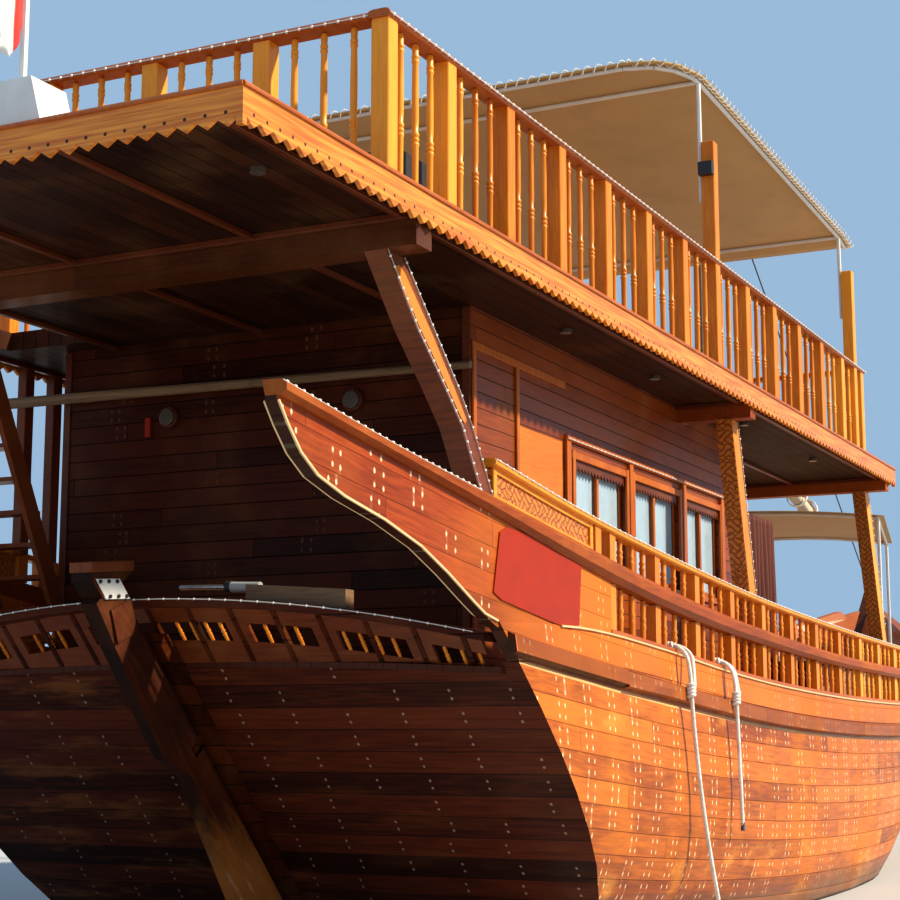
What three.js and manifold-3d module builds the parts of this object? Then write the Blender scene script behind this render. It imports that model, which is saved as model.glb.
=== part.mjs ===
// A wooden dhow: a motor sailing boat with a raked transom, sweeping quarter boards,
// a deckhouse on the main deck and a balustraded sun deck carried above it.
// Units are millimetres. X points to the bow, Y to port, Z up, and Z = 0 is the waterline.

import * as THREE from 'three';
import { mergeVertices } from 'three/addons/utils/BufferGeometryUtils.js';
import Module from 'manifold-3d';

const wasm = await Module();
wasm.setup();

// Driving dimensions

const SEAM = 0.3;               // gap kept where two pieces meet
const DEG = Math.PI / 180;
const SIDES = [['stbd', -1], ['port', 1]];

// Stern: the transom is a plane that leans aft as it rises
const TRANSOM_TOP = { x: -8850, z: 2320 };
const TRANSOM_RAKE = 44 * DEG;

// Sun deck
const SUN_DECK = { aft: -11830, fore: 2800, half: 2590, top: 4850, underside: 4700 };
const FASCIA = { height: 220, thick: 28, pitch: 125, tooth: 42, corner: 40 };
const RAIL_POST = { first: -10170, second: -9380, pitch: 900, count: 14, size: 120, inset: 100 };
const SUN_RAIL_HEIGHT = 1000;

// Deckhouse on the main deck
const HOUSE = { aft: -7630, fore: -1000, half: 1830, top: 4699, wall: 60 };

// Rudder hangs on a raked axis just behind the sternpost
const STERNPOST_DEPTH = 130;
const RUDDER_HALF = 75;
const RUDDER_GAP = 12;

// Propeller in its aperture
const SCREW = { x: -4850, z: -1180, radius: 360, hub: 75 };

// Mast and yard
const MAST = { x: 3250, top: 10300, radius: 110 };

// Lines of the hull by place along the boat: half breadth at the top edge, and the heights of the
// hull's top edge, of the deck beams at the side, of the wale's upper edge, of the heavy rail and of
// the hand rail; depth is how high the heavy rail's timber is
const LINES = [
  { x: -11600, half: 2555, top: 2250, deck: 1960, wale: 2500, heavy: 3428, depth: 85, hand: 3690 },
  { x: -10200, half: 2580, top: 2280, deck: 1970, wale: 2390, heavy: 3235, depth: 80, hand: 3510 },
  { x: -8850, half: 2600, top: 2310, deck: 1990, wale: 2272, heavy: 3080, depth: 110, hand: 3340 },
  { x: -7500, half: 2632, top: 2350, deck: 2005, wale: 2152, heavy: 2915, depth: 150, hand: 3165 },
  { x: -6000, half: 2662, top: 2272, deck: 1955, wale: 2028, heavy: 2740, depth: 150, hand: 3020 },
  { x: -4500, half: 2685, top: 2157, deck: 1872, wale: 1920, heavy: 2610, depth: 138, hand: 2903 },
  { x: -3000, half: 2698, top: 2075, deck: 1825, wale: 1850, heavy: 2522, depth: 125, hand: 2812 },
  { x: -1000, half: 2700, top: 2014, deck: 1794, wale: 1787, heavy: 2437, depth: 115, hand: 2736 },
  { x: 1000, half: 2690, top: 1988, deck: 1783, wale: 1752, heavy: 2400, depth: 110, hand: 2682 },
  { x: 3000, half: 2620, top: 2005, deck: 1800, wale: 1762, heavy: 2402, depth: 115, hand: 2668 },
  { x: 5000, half: 2400, top: 2130, deck: 1915, wale: 1880, heavy: 2510, depth: 125, hand: 2770 },
  { x: 7000, half: 1960, top: 2370, deck: 2150, wale: 2110, heavy: 2740, depth: 130, hand: 3000 },
  { x: 9000, half: 1270, top: 2740, deck: 2510, wale: 2480, heavy: 3100, depth: 130, hand: 3350 },
  { x: 10300, half: 700, top: 3050, deck: 2810, wale: 2790, heavy: 3400, depth: 130, hand: 3650 },
  { x: 11400, half: 110, top: 3360, deck: 3110, wale: 3100, heavy: 3700, depth: 130, hand: 3950 },
];

// Stations of the hull body: place of the top edge and of the bottom edge, height of the bottom,
// and how full the section is (higher powers give a boxier section)
const STATIONS = [
  { top: -8830, foot: -6031, bottom: -600, power: 7.2, round: 1.15, bulge: 0.035 },
  { top: -7500, foot: -5000, bottom: -700, power: 7.0, round: 1.15, bulge: 0.03 },
  { top: -5500, foot: -3600, bottom: -850, power: 6.5, round: 1.2, bulge: 0.02 },
  { top: -3200, foot: -2000, bottom: -1000, power: 6.0, round: 1.25, bulge: 0.015 },
  { top: -600, foot: -400, bottom: -1120, power: 5.4, round: 1.3, bulge: 0.01 },
  { top: 2000, foot: 1300, bottom: -1200, power: 4.4, round: 1.3, bulge: 0 },
  { top: 4500, foot: 2900, bottom: -1240, power: 3.2, round: 1.25, bulge: 0 },
  { top: 6800, foot: 4200, bottom: -1240, power: 2.3, round: 1.15, bulge: 0 },
  { top: 8700, foot: 5000, bottom: -1200, power: 1.75, round: 1.1, bulge: 0 },
  { top: 10200, foot: 5500, bottom: -1150, power: 1.4, round: 1.05, bulge: 0 },
  { top: 11350, foot: 5850, bottom: -1080, power: 1.2, round: 1.0, bulge: 0 },
];
const HULL_STEPS = 12;
const KEEL_HALF = 90;
const KEEL_BOTTOM = -1750;

// Colours and finishes of the real pieces
const FINISH = {
  hull: { color: 0xa4481c, roughness: 0.35 },
  darkWood: { color: 0x4a1a0d, roughness: 0.5 },
  railWood: { color: 0xd98224, roughness: 0.4 },
  redWood: { color: 0x8a3014, roughness: 0.4 },
  deckWood: { color: 0x9a6a3c, roughness: 0.7 },
  greyWood: { color: 0x7a6048, roughness: 0.8 },
  canvas: { color: 0xb5a07c, roughness: 0.9 },
  curtain: { color: 0x5a1210, roughness: 0.9 },
  paintedSteel: { color: 0xd8d8d4, roughness: 0.4, metalness: 0.3 },
  darkSteel: { color: 0x2a2a2c, roughness: 0.5, metalness: 0.5 },
  bronze: { color: 0xa8763a, roughness: 0.35, metalness: 0.9 },
  glass: { color: 0x8fb2cc, roughness: 0.1 },
  white: { color: 0xf0f0ec, roughness: 0.6 },
  rope: { color: 0xe6e2d8, roughness: 0.9 },
};

// Geometry helpers

function bare(geometry) {
  const plain = geometry.clone();
  plain.deleteAttribute('normal');
  plain.deleteAttribute('uv');
  return mergeVertices(plain, 1e-3);
}

function toSolid(geometry) {
  const plain = bare(geometry);
  const mesh = new wasm.Mesh({
    numProp: 3,
    vertProperties: new Float32Array(plain.attributes.position.array),
    triVerts: new Uint32Array(plain.index.array),
  });
  return new wasm.Manifold(mesh);
}

function toGeometry(solid) {
  const mesh = solid.getMesh();
  const geometry = new THREE.BufferGeometry();
  geometry.setAttribute('position', new THREE.BufferAttribute(mesh.vertProperties, 3));
  geometry.setIndex(new THREE.BufferAttribute(mesh.triVerts, 1));
  return geometry;
}

function join(geometries) {
  return toGeometry(geometries.map(toSolid).reduce((whole, piece) => whole.add(piece)));
}

function cut(geometry, tools) {
  return toGeometry(tools.map(toSolid).reduce((whole, tool) => whole.subtract(tool), toSolid(geometry)));
}

function block(x0, x1, y0, y1, z0, z1) {
  const box = new THREE.BoxGeometry(x1 - x0, y1 - y0, z1 - z0);
  return box.translate((x0 + x1) / 2, (y0 + y1) / 2, (z0 + z1) / 2);
}

const AXIS = {
  x: new THREE.Vector3(1, 0, 0),
  y: new THREE.Vector3(0, 1, 0),
  z: new THREE.Vector3(0, 0, 1),
  minusY: new THREE.Vector3(0, -1, 0),
};

// An outline of [across, up] points, extruded along the third axis
function prism(plane, outline, from, to) {
  const shape = new THREE.Shape(outline.map(([a, b]) => new THREE.Vector2(a, b)));
  const geometry = new THREE.ExtrudeGeometry(shape, { depth: to - from, bevelEnabled: false });
  const basis = new THREE.Matrix4();
  if (plane === 'xz') basis.makeBasis(AXIS.x, AXIS.z, AXIS.minusY).setPosition(0, to, 0);
  if (plane === 'yz') basis.makeBasis(AXIS.y, AXIS.z, AXIS.x).setPosition(from, 0, 0);
  return geometry.applyMatrix4(basis);
}

// A closed body through rings of points; each ring runs up one side and down the other
function loft(rings) {
  const count = rings[0].length;
  const points = rings.flat();
  const faces = [];
  const quad = (a, b, c, d) => faces.push(a, b, c, a, c, d);
  for (let r = 0; r < rings.length - 1; r += 1) {
    for (let i = 0; i < count; i += 1) {
      const next = (i + 1) % count;
      quad(r * count + i, r * count + next, (r + 1) * count + next, (r + 1) * count + i);
    }
  }
  const last = (rings.length - 1) * count;
  for (let i = 0; i < count / 2 - 1; i += 1) {
    quad(i, count - 1 - i, count - 2 - i, i + 1);
    quad(last + i, last + i + 1, last + count - 2 - i, last + count - 1 - i);
  }
  let volume = 0;
  for (let i = 0; i < faces.length; i += 3) {
    const [a, b, c] = [points[faces[i]], points[faces[i + 1]], points[faces[i + 2]]];
    volume += a[0] * (b[1] * c[2] - b[2] * c[1]) - a[1] * (b[0] * c[2] - b[2] * c[0])
      + a[2] * (b[0] * c[1] - b[1] * c[0]);
  }
  if (volume < 0) faces.reverse();
  const geometry = new THREE.BufferGeometry();
  geometry.setAttribute('position', new THREE.Float32BufferAttribute(points.flat(), 3));
  geometry.setIndex(faces);
  return geometry;
}

// A smooth curve through one column of a table whose rows are sorted by x
function column(rows, name, place = 'x') {
  const slope = (i, j) => (rows[j][name] - rows[i][name]) / (rows[j][place] - rows[i][place]);
  const slopes = rows.map((row, i) => slope(Math.max(i - 1, 0), Math.min(i + 1, rows.length - 1)));
  return (x) => {
    let i = 0;
    while (i < rows.length - 2 && x > rows[i + 1][place]) i += 1;
    const span = rows[i + 1][place] - rows[i][place];
    const t = (x - rows[i][place]) / span;
    const [h00, h10] = [2 * t ** 3 - 3 * t ** 2 + 1, t ** 3 - 2 * t ** 2 + t];
    const [h01, h11] = [-2 * t ** 3 + 3 * t ** 2, t ** 3 - t ** 2];
    return h00 * rows[i][name] + h10 * span * slopes[i]
      + h01 * rows[i + 1][name] + h11 * span * slopes[i + 1];
  };
}

const halfBreadth = column(LINES, 'half');
const topEdge = column(LINES, 'top');
const heavyRail = column(LINES, 'heavy');
const handRail = column(LINES, 'hand');
const deckLine = column(LINES, 'deck');
const waleLine = column(LINES, 'wale');
const railDepth = column(LINES, 'depth');

const transomX = (z) => TRANSOM_TOP.x + (TRANSOM_TOP.z - z) * Math.tan(TRANSOM_RAKE);

const stationAt = Object.fromEntries(
  ['foot', 'bottom', 'power', 'round', 'bulge'].map((name) => [name, column(STATIONS, name, 'top')]),
);
const FIRST_STATION = STATIONS[0].top;
const LAST_STATION = STATIONS.at(-1).top;

// Place along the boat of a station's side at a height; above the top edge the side runs on straight
function hullX(station, z) {
  const bottom = stationAt.bottom(station);
  const t = (z - bottom) / (topEdge(station) - bottom);
  return stationAt.foot(station) + (station - stationAt.foot(station)) * t;
}

function hullY(station, z) {
  const bottom = stationAt.bottom(station);
  const t = Math.min(1, Math.max(0, (z - bottom) / (topEdge(station) - bottom)));
  const full = (1 - (1 - t) ** stationAt.power(station)) ** (1 / stationAt.round(station));
  const swell = 1 + stationAt.bulge(station) * Math.sin(Math.PI * Math.max(0, (t - 0.3) / 0.7));
  return Math.max(KEEL_HALF, halfBreadth(station) * full * swell);
}

// Half breadth of the boat's side at a place and a height
function sideAt(x, z) {
  if (x < 0 && z >= topEdge(x)) return halfBreadth(x);
  let [low, high] = [FIRST_STATION, LAST_STATION];
  for (let i = 0; i < 40; i += 1) {
    const middle = (low + high) / 2;
    if (hullX(middle, z) < x) low = middle;
    else high = middle;
  }
  return hullY(low, z);
}

// A strip that follows the boat's side; section gives [inboard from the side, height] pairs
function sideStrip(sign, places, section) {
  return loft(places.map((x) => section(x).map(([inboard, z]) => [x, sign * (sideAt(x, z) - inboard), z])));
}

function roundBar(radius, from, to, sides = 8, endRadius = radius) {
  const start = new THREE.Vector3(...from);
  const along = new THREE.Vector3(...to).sub(start);
  const bar = new THREE.CylinderGeometry(endRadius, radius, along.length(), sides);
  bar.translate(0, along.length() / 2, 0);
  const turn = new THREE.Quaternion().setFromUnitVectors(AXIS.y, along.clone().normalize());
  return bar.applyQuaternion(turn).translate(...from);
}

// A round tube along a smooth curve through points
function tube(radius, points, steps, sides = 8) {
  const section = new THREE.Shape(Array.from({ length: sides }, (_, i) => new THREE.Vector2(
    radius * Math.cos((2 * Math.PI * i) / sides), radius * Math.sin((2 * Math.PI * i) / sides))));
  const path = new THREE.CatmullRomCurve3(points.map((point) => new THREE.Vector3(...point)));
  return new THREE.ExtrudeGeometry(section, { steps, bevelEnabled: false, extrudePath: path });
}

function squareBar(width, depth, from, to) {
  const start = new THREE.Vector3(...from);
  const along = new THREE.Vector3(...to).sub(start);
  const zAxis = along.clone().normalize();
  const yAxis = new THREE.Vector3().crossVectors(zAxis, AXIS.x).normalize();
  const xAxis = new THREE.Vector3().crossVectors(yAxis, zAxis);
  const bar = new THREE.BoxGeometry(depth, width, along.length());
  bar.translate(0, 0, along.length() / 2);
  return bar.applyMatrix4(new THREE.Matrix4().makeBasis(xAxis, yAxis, zAxis).setPosition(start));
}

// Moves a geometry sideways in step with its height: by `foot` at z0 and by `head` at z1
function lean(geometry, z0, foot, z1, head) {
  const place = geometry.attributes.position;
  for (let i = 0; i < place.count; i += 1) {
    place.setY(i, place.getY(i) + foot + ((head - foot) * (place.getZ(i) - z0)) / (z1 - z0));
  }
  return geometry;
}

const boat = new THREE.Group();

function add(name, geometry, finish) {
  const mesh = new THREE.Mesh(geometry, new THREE.MeshStandardMaterial(FINISH[finish]));
  mesh.name = name;
  boat.add(mesh);
}

// Hull body: a solid lofted from the raked transom to the raked stem, with a wale along each side

const HULL_PLACES = 22;
const hullStations = [];
for (let i = 0; i <= HULL_PLACES; i += 1) {
  hullStations.push(FIRST_STATION + ((LAST_STATION - FIRST_STATION) * i) / HULL_PLACES);
}

// The sheer strake is the topmost plank of each side; the hull body ends below it
const STRAKE = { deep: 240, thick: 84, proud: 4 };
const bodyTop = (station) => topEdge(station) - STRAKE.deep;

function hullRing(station) {
  const bottom = stationAt.bottom(station);
  const side = [];
  for (let i = 0; i <= HULL_STEPS; i += 1) {
    const z = bottom + (bodyTop(station) - bottom) * (i / HULL_STEPS) ** 1.3;
    side.push([hullX(station, z), hullY(station, z), z]);
  }
  return side.concat(side.map(([x, y, z]) => [x, -y, z]).reverse());
}

// The wale is a heavy moulding along each side. Aft of `split` it lies over the sheer strake.
const WALE = { high: 155, proud: 60, edge: 25, root: 70, aft: -8740, split: -6900, fore: 10250 };
const hullWaleTop = (x) => Math.min(waleLine(x), topEdge(x) - STRAKE.deep - 2);
const waleSection = (high, root) => [[root, high - WALE.high], [-WALE.proud, high - WALE.high + WALE.edge],
  [-WALE.proud, high - WALE.edge], [root, high]];
const hullBody = [loft(hullStations.map(hullRing))];
for (const [, sign] of SIDES) {
  const places = [WALE.split, ...hullStations.filter((x) => x > WALE.split + 50).slice(0, -2), WALE.fore];
  hullBody.push(sideStrip(sign, places, (x) => waleSection(hullWaleTop(x), WALE.root)));
}

// The deck lies in a cambered well inside the sides, open over the transom
const CAMBER = 80;
const SIDE_THICK = 95;
const DECK_THICK = 40;
const ACROSS = 10;
const DECK_STEP = 915;
const deckPlaces = Array.from({ length: 21 }, (_, i) => -8600 + i * DECK_STEP);
function floorZ(x, y) {
  const bay = Math.min(deckPlaces.length - 2, Math.max(0, Math.floor((x - deckPlaces[0]) / DECK_STEP)));
  const share = (x - deckPlaces[bay]) / DECK_STEP;
  const low = deckLine(deckPlaces[bay]) * (1 - share) + deckLine(deckPlaces[bay + 1]) * share;
  return low + CAMBER * (1 - (y / 2600) ** 2);
}
const deckTop = (x, y = 0) => floorZ(x, y) + SEAM + DECK_THICK;
const wellHalf = (x) => (x < 0 ? halfBreadth(x) : sideAt(x, deckLine(x))) - SIDE_THICK;

// A cross ring from a low curve to a high curve
function slabRing(x, half, low, high) {
  const ys = Array.from({ length: ACROSS + 1 }, (_, i) => -half + (2 * half * i) / ACROSS);
  return ys.map((y) => [x, y, low(y)]).concat(ys.reverse().map((y) => [x, y, high(y)]));
}

// Everything below the deck's surface between two places; it trims the feet of what stands there
function belowDeck(from, to) {
  const inside = deckPlaces.filter((x) => x > from + 1 && x < to - 1);
  return loft([from, ...inside, to].map((x) => slabRing(x, wellHalf(x) - 3, () => 500,
    (y) => deckTop(Math.max(x, deckPlaces[0]), y) + SEAM)));
}

const wellPlaces = [-9300, ...deckPlaces, 9720];
add('hull', cut(join(hullBody), [loft(wellPlaces.map((x) => slabRing(x, wellHalf(x),
  (y) => floorZ(x, y), () => 5000)))]), 'hull');

// Keel, stem and sternpost: one thick timber outline around the hull body; the rudder's gudgeons
// are joined to it further on

const STEM_HEAD = { z: 4120, depth: 190 };
const keelLine = hullStations.map((x) => [hullX(x, stationAt.bottom(x)), stationAt.bottom(x) - SEAM]);
const stemX = (z) => hullX(LAST_STATION, z);
const stemFoot = STATIONS.at(-1);
const postTop = { x: transomX(2300), z: 2300 };
const postAft = (z) => transomX(z) - STERNPOST_DEPTH / Math.cos(TRANSOM_RAKE);
const backboneOutline = [
  [postTop.x - SEAM, postTop.z],
  [STATIONS[0].foot - SEAM, STATIONS[0].bottom - SEAM],
  ...keelLine.slice(1, -1),
  [stemX(stemFoot.bottom) + SEAM, stemFoot.bottom - SEAM],
  [stemX(STEM_HEAD.z) + SEAM, STEM_HEAD.z],
  [stemX(STEM_HEAD.z) + STEM_HEAD.depth, STEM_HEAD.z],
  [stemX(stemFoot.bottom) + STEM_HEAD.depth + 60, stemFoot.bottom],
  [stemFoot.foot - 60, KEEL_BOTTOM + 190],
  [stemFoot.foot - 700, KEEL_BOTTOM],
  [postAft(KEEL_BOTTOM + 60) + 90, KEEL_BOTTOM],
  [postAft(KEEL_BOTTOM + 60), KEEL_BOTTOM + 60],
  [postAft(postTop.z), postTop.z],
];
const apertureLow = SCREW.z - SCREW.radius - 60;
const apertureHigh = SCREW.z + SCREW.radius + 70;
const aperture = [
  [transomX(apertureLow) + 30, apertureLow],
  [SCREW.x + 230, apertureLow],
  [SCREW.x + 230, apertureHigh],
  [transomX(apertureHigh) + 30, apertureHigh],
];
const backbone = cut(prism('xz', backboneOutline, -KEEL_HALF, KEEL_HALF),
  [prism('xz', aperture, -KEEL_HALF - 50, KEEL_HALF + 50)]);

// Main deck planking, laid on the hull body between the bulwarks

const HATCH = { aft: 7300, fore: 8100, half: 400, coaming: 220 };
const hatchTop = deckTop(HATCH.fore) + HATCH.coaming;
const planking = loft(deckPlaces.map((x) => slabRing(x, wellHalf(x) - 3,
  (y) => floorZ(x, y) + SEAM, (y) => deckTop(x, y))));
add('main_deck', join([planking, prism('xz', [[HATCH.aft, deckTop(HATCH.aft) - 25],
  [HATCH.fore, deckTop(HATCH.fore) - 25], [HATCH.fore, hatchTop], [HATCH.aft, hatchTop]],
-HATCH.half, HATCH.half)]), 'deckWood');

// Sides above the deck: quarter boards, bow boards, heavy rails, balusters and hand rails

const WING = [
  { x: -11420, low: 3290 },
  { x: -11330, low: 3180 },
  { x: -11200, low: 3050 },
  { x: -11030, low: 2950 },
  { x: -10750, low: 2872 },
  { x: -10310, low: 2792 },
  { x: -9880, low: 2684 },
  { x: -9540, low: 2556 },
  { x: -9200, low: 2410 },
  { x: -9040, low: 2345 },
  { x: -8860, low: 2311 },
];
const BOARD = 70;
// The height of a faceted strip between the places where it was sampled
function chord(line, places) {
  return (x) => {
    const i = Math.min(places.length - 2, Math.max(0, places.findLastIndex((place) => place <= x)));
    const share = (x - places[i]) / (places[i + 1] - places[i]);
    return line(places[i]) * (1 - share) + line(places[i + 1]) * share;
  };
}

const TIER = { first: 2, last: 15 };
const tierPlaces = hullStations.slice(TIER.first, TIER.last + 1);
const sidePlaces = [...WING.map(({ x }) => x), ...hullStations.slice(0, -1)];
const BOW_END = 11500;
const heavyTop = chord(heavyRail, [...sidePlaces, BOW_END]);
const handPlaces = [-8900, ...hullStations.slice(0, TIER.last)];
const handTop = chord(handRail, handPlaces);
const highest = (line, x, reach) => Math.max(line(x - reach), line(x), line(x + reach));
const lowest = (line, x, reach) => Math.min(line(x - reach), line(x), line(x + reach));
const heavyFoot = chord((x) => heavyRail(x) - railDepth(x), [...sidePlaces, BOW_END]);
const PORT_POSTS = { x: [-7300, -6930], inner: 2470, outer: 2560 };

// The transom plane also ends the strakes
const aftOfTransom = prism('xz', [[transomX(1500), 1500], [transomX(2700), 2700], [-9700, 2700], [-9700, 1500]],
  -2900, 2900);

for (const [side, sign] of SIDES) {
  const wingLow = column(WING, 'low');
  const strake = hullStations.map((station, i) => {
    const levels = [bodyTop(station) + SEAM, topEdge(station) - STRAKE.deep / 2, topEdge(station)];
    const outer = levels.map((z) => [hullX(station, z) - (i === 0 ? 300 : 0),
      sign * (hullY(station, z) + STRAKE.proud), z]);
    return outer.concat(outer.map(([x, y, z]) => [x,
      sign * Math.max(KEEL_HALF - 60 + SEAM, Math.abs(y) - STRAKE.proud - STRAKE.thick), z]).reverse());
  });
  const wing = sidePlaces.filter((x) => x <= tierPlaces[0]).map((x) => {
    const low = x < -8860 ? wingLow(x) : topEdge(x) - 30;
    const high = heavyRail(x) - railDepth(x) - SEAM;
    const y = (inboard) => sign * (halfBreadth(x) - inboard);
    return [[x, y(0), low], [x, y(0), high], [x, y(BOARD), high], [x, y(BOARD), low]];
  });
  const waleAft = sideStrip(sign, [WALE.aft, hullStations[1], WALE.split - SEAM],
    (x) => waleSection(waleLine(x), 1 - STRAKE.proud));
  add(`sheer_board_${side}`, join([cut(loft(strake), [aftOfTransom]), loft(wing), waleAft]), 'hull');

  // Ahead of the open tier the side is boarded up to the heavy rail, and both run on to the stem
  const railStrip = sideStrip(sign, [...sidePlaces, BOW_END], (x) => {
    const [high, depth] = [heavyRail(x), railDepth(x)];
    return [[BOARD, high - depth], [-20, high - depth], [-60, high - depth * 0.75],
      [-60, high - depth * 0.3], [-25, high], [BOARD + 20, high]];
  });
  const bowRings = hullStations.slice(TIER.last).map((station) => {
    const low = topEdge(station) + SEAM;
    let high = low;
    for (let k = 0; k < 4; k += 1) high = heavyRail(hullX(station, high)) - railDepth(hullX(station, high)) / 2;
    const inner = Math.max(KEEL_HALF + SEAM - 60, halfBreadth(station) - BOARD);
    return [[hullX(station, low), sign * halfBreadth(station), low],
      [hullX(station, high), sign * halfBreadth(station), high],
      [hullX(station, high), sign * inner, high], [hullX(station, low), sign * inner, low]];
  });
  add(`heavy_rail_${side}`, join([railStrip, loft(bowRings)]), 'redWood');

  // Open tier between the hull's top edge and the heavy rail
  const lower = [sideStrip(sign, tierPlaces, (x) => [[5, topEdge(x) + SEAM],
    [5, topEdge(x) + 30], [110, topEdge(x) + 30], [110, topEdge(x) + SEAM]])];
  const upper = [sideStrip(sign, handPlaces, (x) => [[-15, handRail(x) - 50],
    [-15, handRail(x)], [95, handRail(x)], [95, handRail(x) - 50]])];
  for (let x = tierPlaces[0] + 60, n = 0; x < tierPlaces.at(-1) - 60; x += 225, n += 1) {
    const wide = n % 4 === 0 ? 55 : 22;
    const y = sign * (halfBreadth(x) - 45);
    lower.push(block(x - wide, x + wide, y - wide * 0.7, y + wide * 0.7,
      topEdge(x) + 20, lowest(heavyFoot, x, wide) - SEAM));
    if (x < hullStations[TIER.last - 1]) {
      upper.push(block(x - wide, x + wide, y - wide * 0.7, y + wide * 0.7,
        highest(heavyTop, x, wide) + SEAM, handRail(x) - 30));
    }
  }
  upper.push(sideStrip(sign, [-8890, ...hullStations.slice(0, 2), -7250], (x) => [[20, heavyTop(x) + 4],
    [20, handRail(x) - 30], [60, handRail(x) - 30], [60, heavyTop(x) + 4]]));
  if (side === 'port') {
    for (const x of PORT_POSTS.x) {
      upper.push(block(x - 55, x + 55, PORT_POSTS.inner, PORT_POSTS.outer, handRail(x) - 40,
        SUN_DECK.underside - SEAM));
    }
  }
  add(`lower_balusters_${side}`, join(lower), 'railWood');
  add(`hand_rail_${side}`, join(upper), 'railWood');
}

// Stern rail: a cambered taffrail over short balusters on top of the transom

const TAFFRAIL = { crown: 2530, drop: 278, aft: 70, fore: 190, thick: 60 };
const taffrailTop = (y) => TAFFRAIL.crown - TAFFRAIL.drop * (y / 2500) ** 2;
const wellInner = chord((x) => wellHalf(x) - SEAM, wellPlaces);
const taffRings = [];
for (let i = 0; i <= 12; i += 1) {
  const share = -1 + (2 * i) / 12;
  const top = taffrailTop(2500 * share);
  const [aft, fore] = [transomX(top) - TAFFRAIL.aft, transomX(top) + TAFFRAIL.fore];
  taffRings.push([[aft, share * wellInner(aft), top - TAFFRAIL.thick], [aft, share * wellInner(aft), top],
    [fore, share * wellInner(fore), top], [fore, share * wellInner(fore), top - TAFFRAIL.thick]]);
}
const taffParts = [loft(taffRings)];
for (let i = 0; i < 15; i += 1) {
  const y = -2300 + (4600 * i) / 14;
  const top = taffrailTop(y) - 40;
  const foot = deckTop(-8590, y) - 30;
  taffParts.push(squareBar(36, 36, [transomX(foot) + 50, y, foot], [transomX(top) + 50, y, top]));
}
add('taffrail', cut(join(taffParts), [belowDeck(-9300, -8000)]), 'darkWood');

// Beams that carry the sun deck; the middle one passes through the deckhouse walls

const BEAMS = [
  { name: 'beam_aft', x: -9750, wide: 200, high: 190 },
  { name: 'beam_mid', x: -3000, wide: 160, high: 150 },
  { name: 'beam_fore', x: 2550, wide: 160, high: 150 },
];
const BEAM_HALF = 2540;
function beamBlock(beam, room) {
  const top = SUN_DECK.underside - SEAM;
  return block(beam.x - beam.wide / 2 - room, beam.x + beam.wide / 2 + room, -BEAM_HALF, BEAM_HALF,
    top - beam.high - room, top + room * 10);
}
for (const beam of BEAMS) add(beam.name, beamBlock(beam, 0), 'redWood');

// Deckhouse: walls around a hollow cabin, with window and door openings

const HOUSE_WINDOWS = [
  { from: -5770, to: -4480 },
  { from: -4400, to: -3070 },
  { from: -3010, to: -1850 },
];
const WINDOW = { low: 2950, high: 3830 };
const DOOR = { half: 700, high: 3980 };

function houseWallOutline(from, to) {
  const places = [from, ...deckPlaces.filter((x) => x > from && x < to), to];
  const outline = places.map((x) => [x, deckTop(x, HOUSE.half - HOUSE.wall) + SEAM]);
  return outline.concat([[to, HOUSE.top], [from, HOUSE.top]]);
}

const windowHoles = HOUSE_WINDOWS.map(({ from, to }) => block(from + 40, to - 40,
  -HOUSE.half - 50, HOUSE.half + 50, WINDOW.low, WINDOW.high));
for (const [side, sign] of SIDES) {
  const outer = sign * HOUSE.half;
  const inner = sign * (HOUSE.half - HOUSE.wall);
  const wall = prism('xz', houseWallOutline(HOUSE.aft, HOUSE.fore),
    Math.min(outer, inner), Math.max(outer, inner));
  add(`house_wall_${side}`, cut(wall, [beamBlock(BEAMS[1], SEAM), ...windowHoles]), 'redWood');
  const glass = [sign * (HOUSE.half - HOUSE.wall - SEAM), sign * (HOUSE.half - HOUSE.wall - 12)];
  add(`window_glass_${side}`, block(HOUSE_WINDOWS[0].from, HOUSE_WINDOWS[2].to,
    Math.min(...glass), Math.max(...glass), WINDOW.low - 40, WINDOW.high + 40), 'glass');
}
const wallHalf = HOUSE.half - HOUSE.wall - SEAM;
const sill = (x, from, to) => [0, 1, 2, 3].map((i) => {
  const y = from + ((to - from) * i) / 3;
  return [y, deckTop(x, y) + SEAM + 1];
});
add('house_wall_aft', prism('yz', [...sill(HOUSE.aft, -wallHalf, 0), ...sill(HOUSE.aft, 0, wallHalf).slice(1),
  [wallHalf, HOUSE.top], [-wallHalf, HOUSE.top]], HOUSE.aft, HOUSE.aft + HOUSE.wall), 'darkWood');
const foreInner = HOUSE.fore - HOUSE.wall;
add('house_wall_fore', prism('yz', [...sill(foreInner, -wallHalf, -DOOR.half), [-DOOR.half, DOOR.high],
  [DOOR.half, DOOR.high], ...sill(foreInner, DOOR.half, wallHalf), [wallHalf, HOUSE.top],
  [-wallHalf, HOUSE.top]], foreInner, HOUSE.fore), 'redWood');

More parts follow.
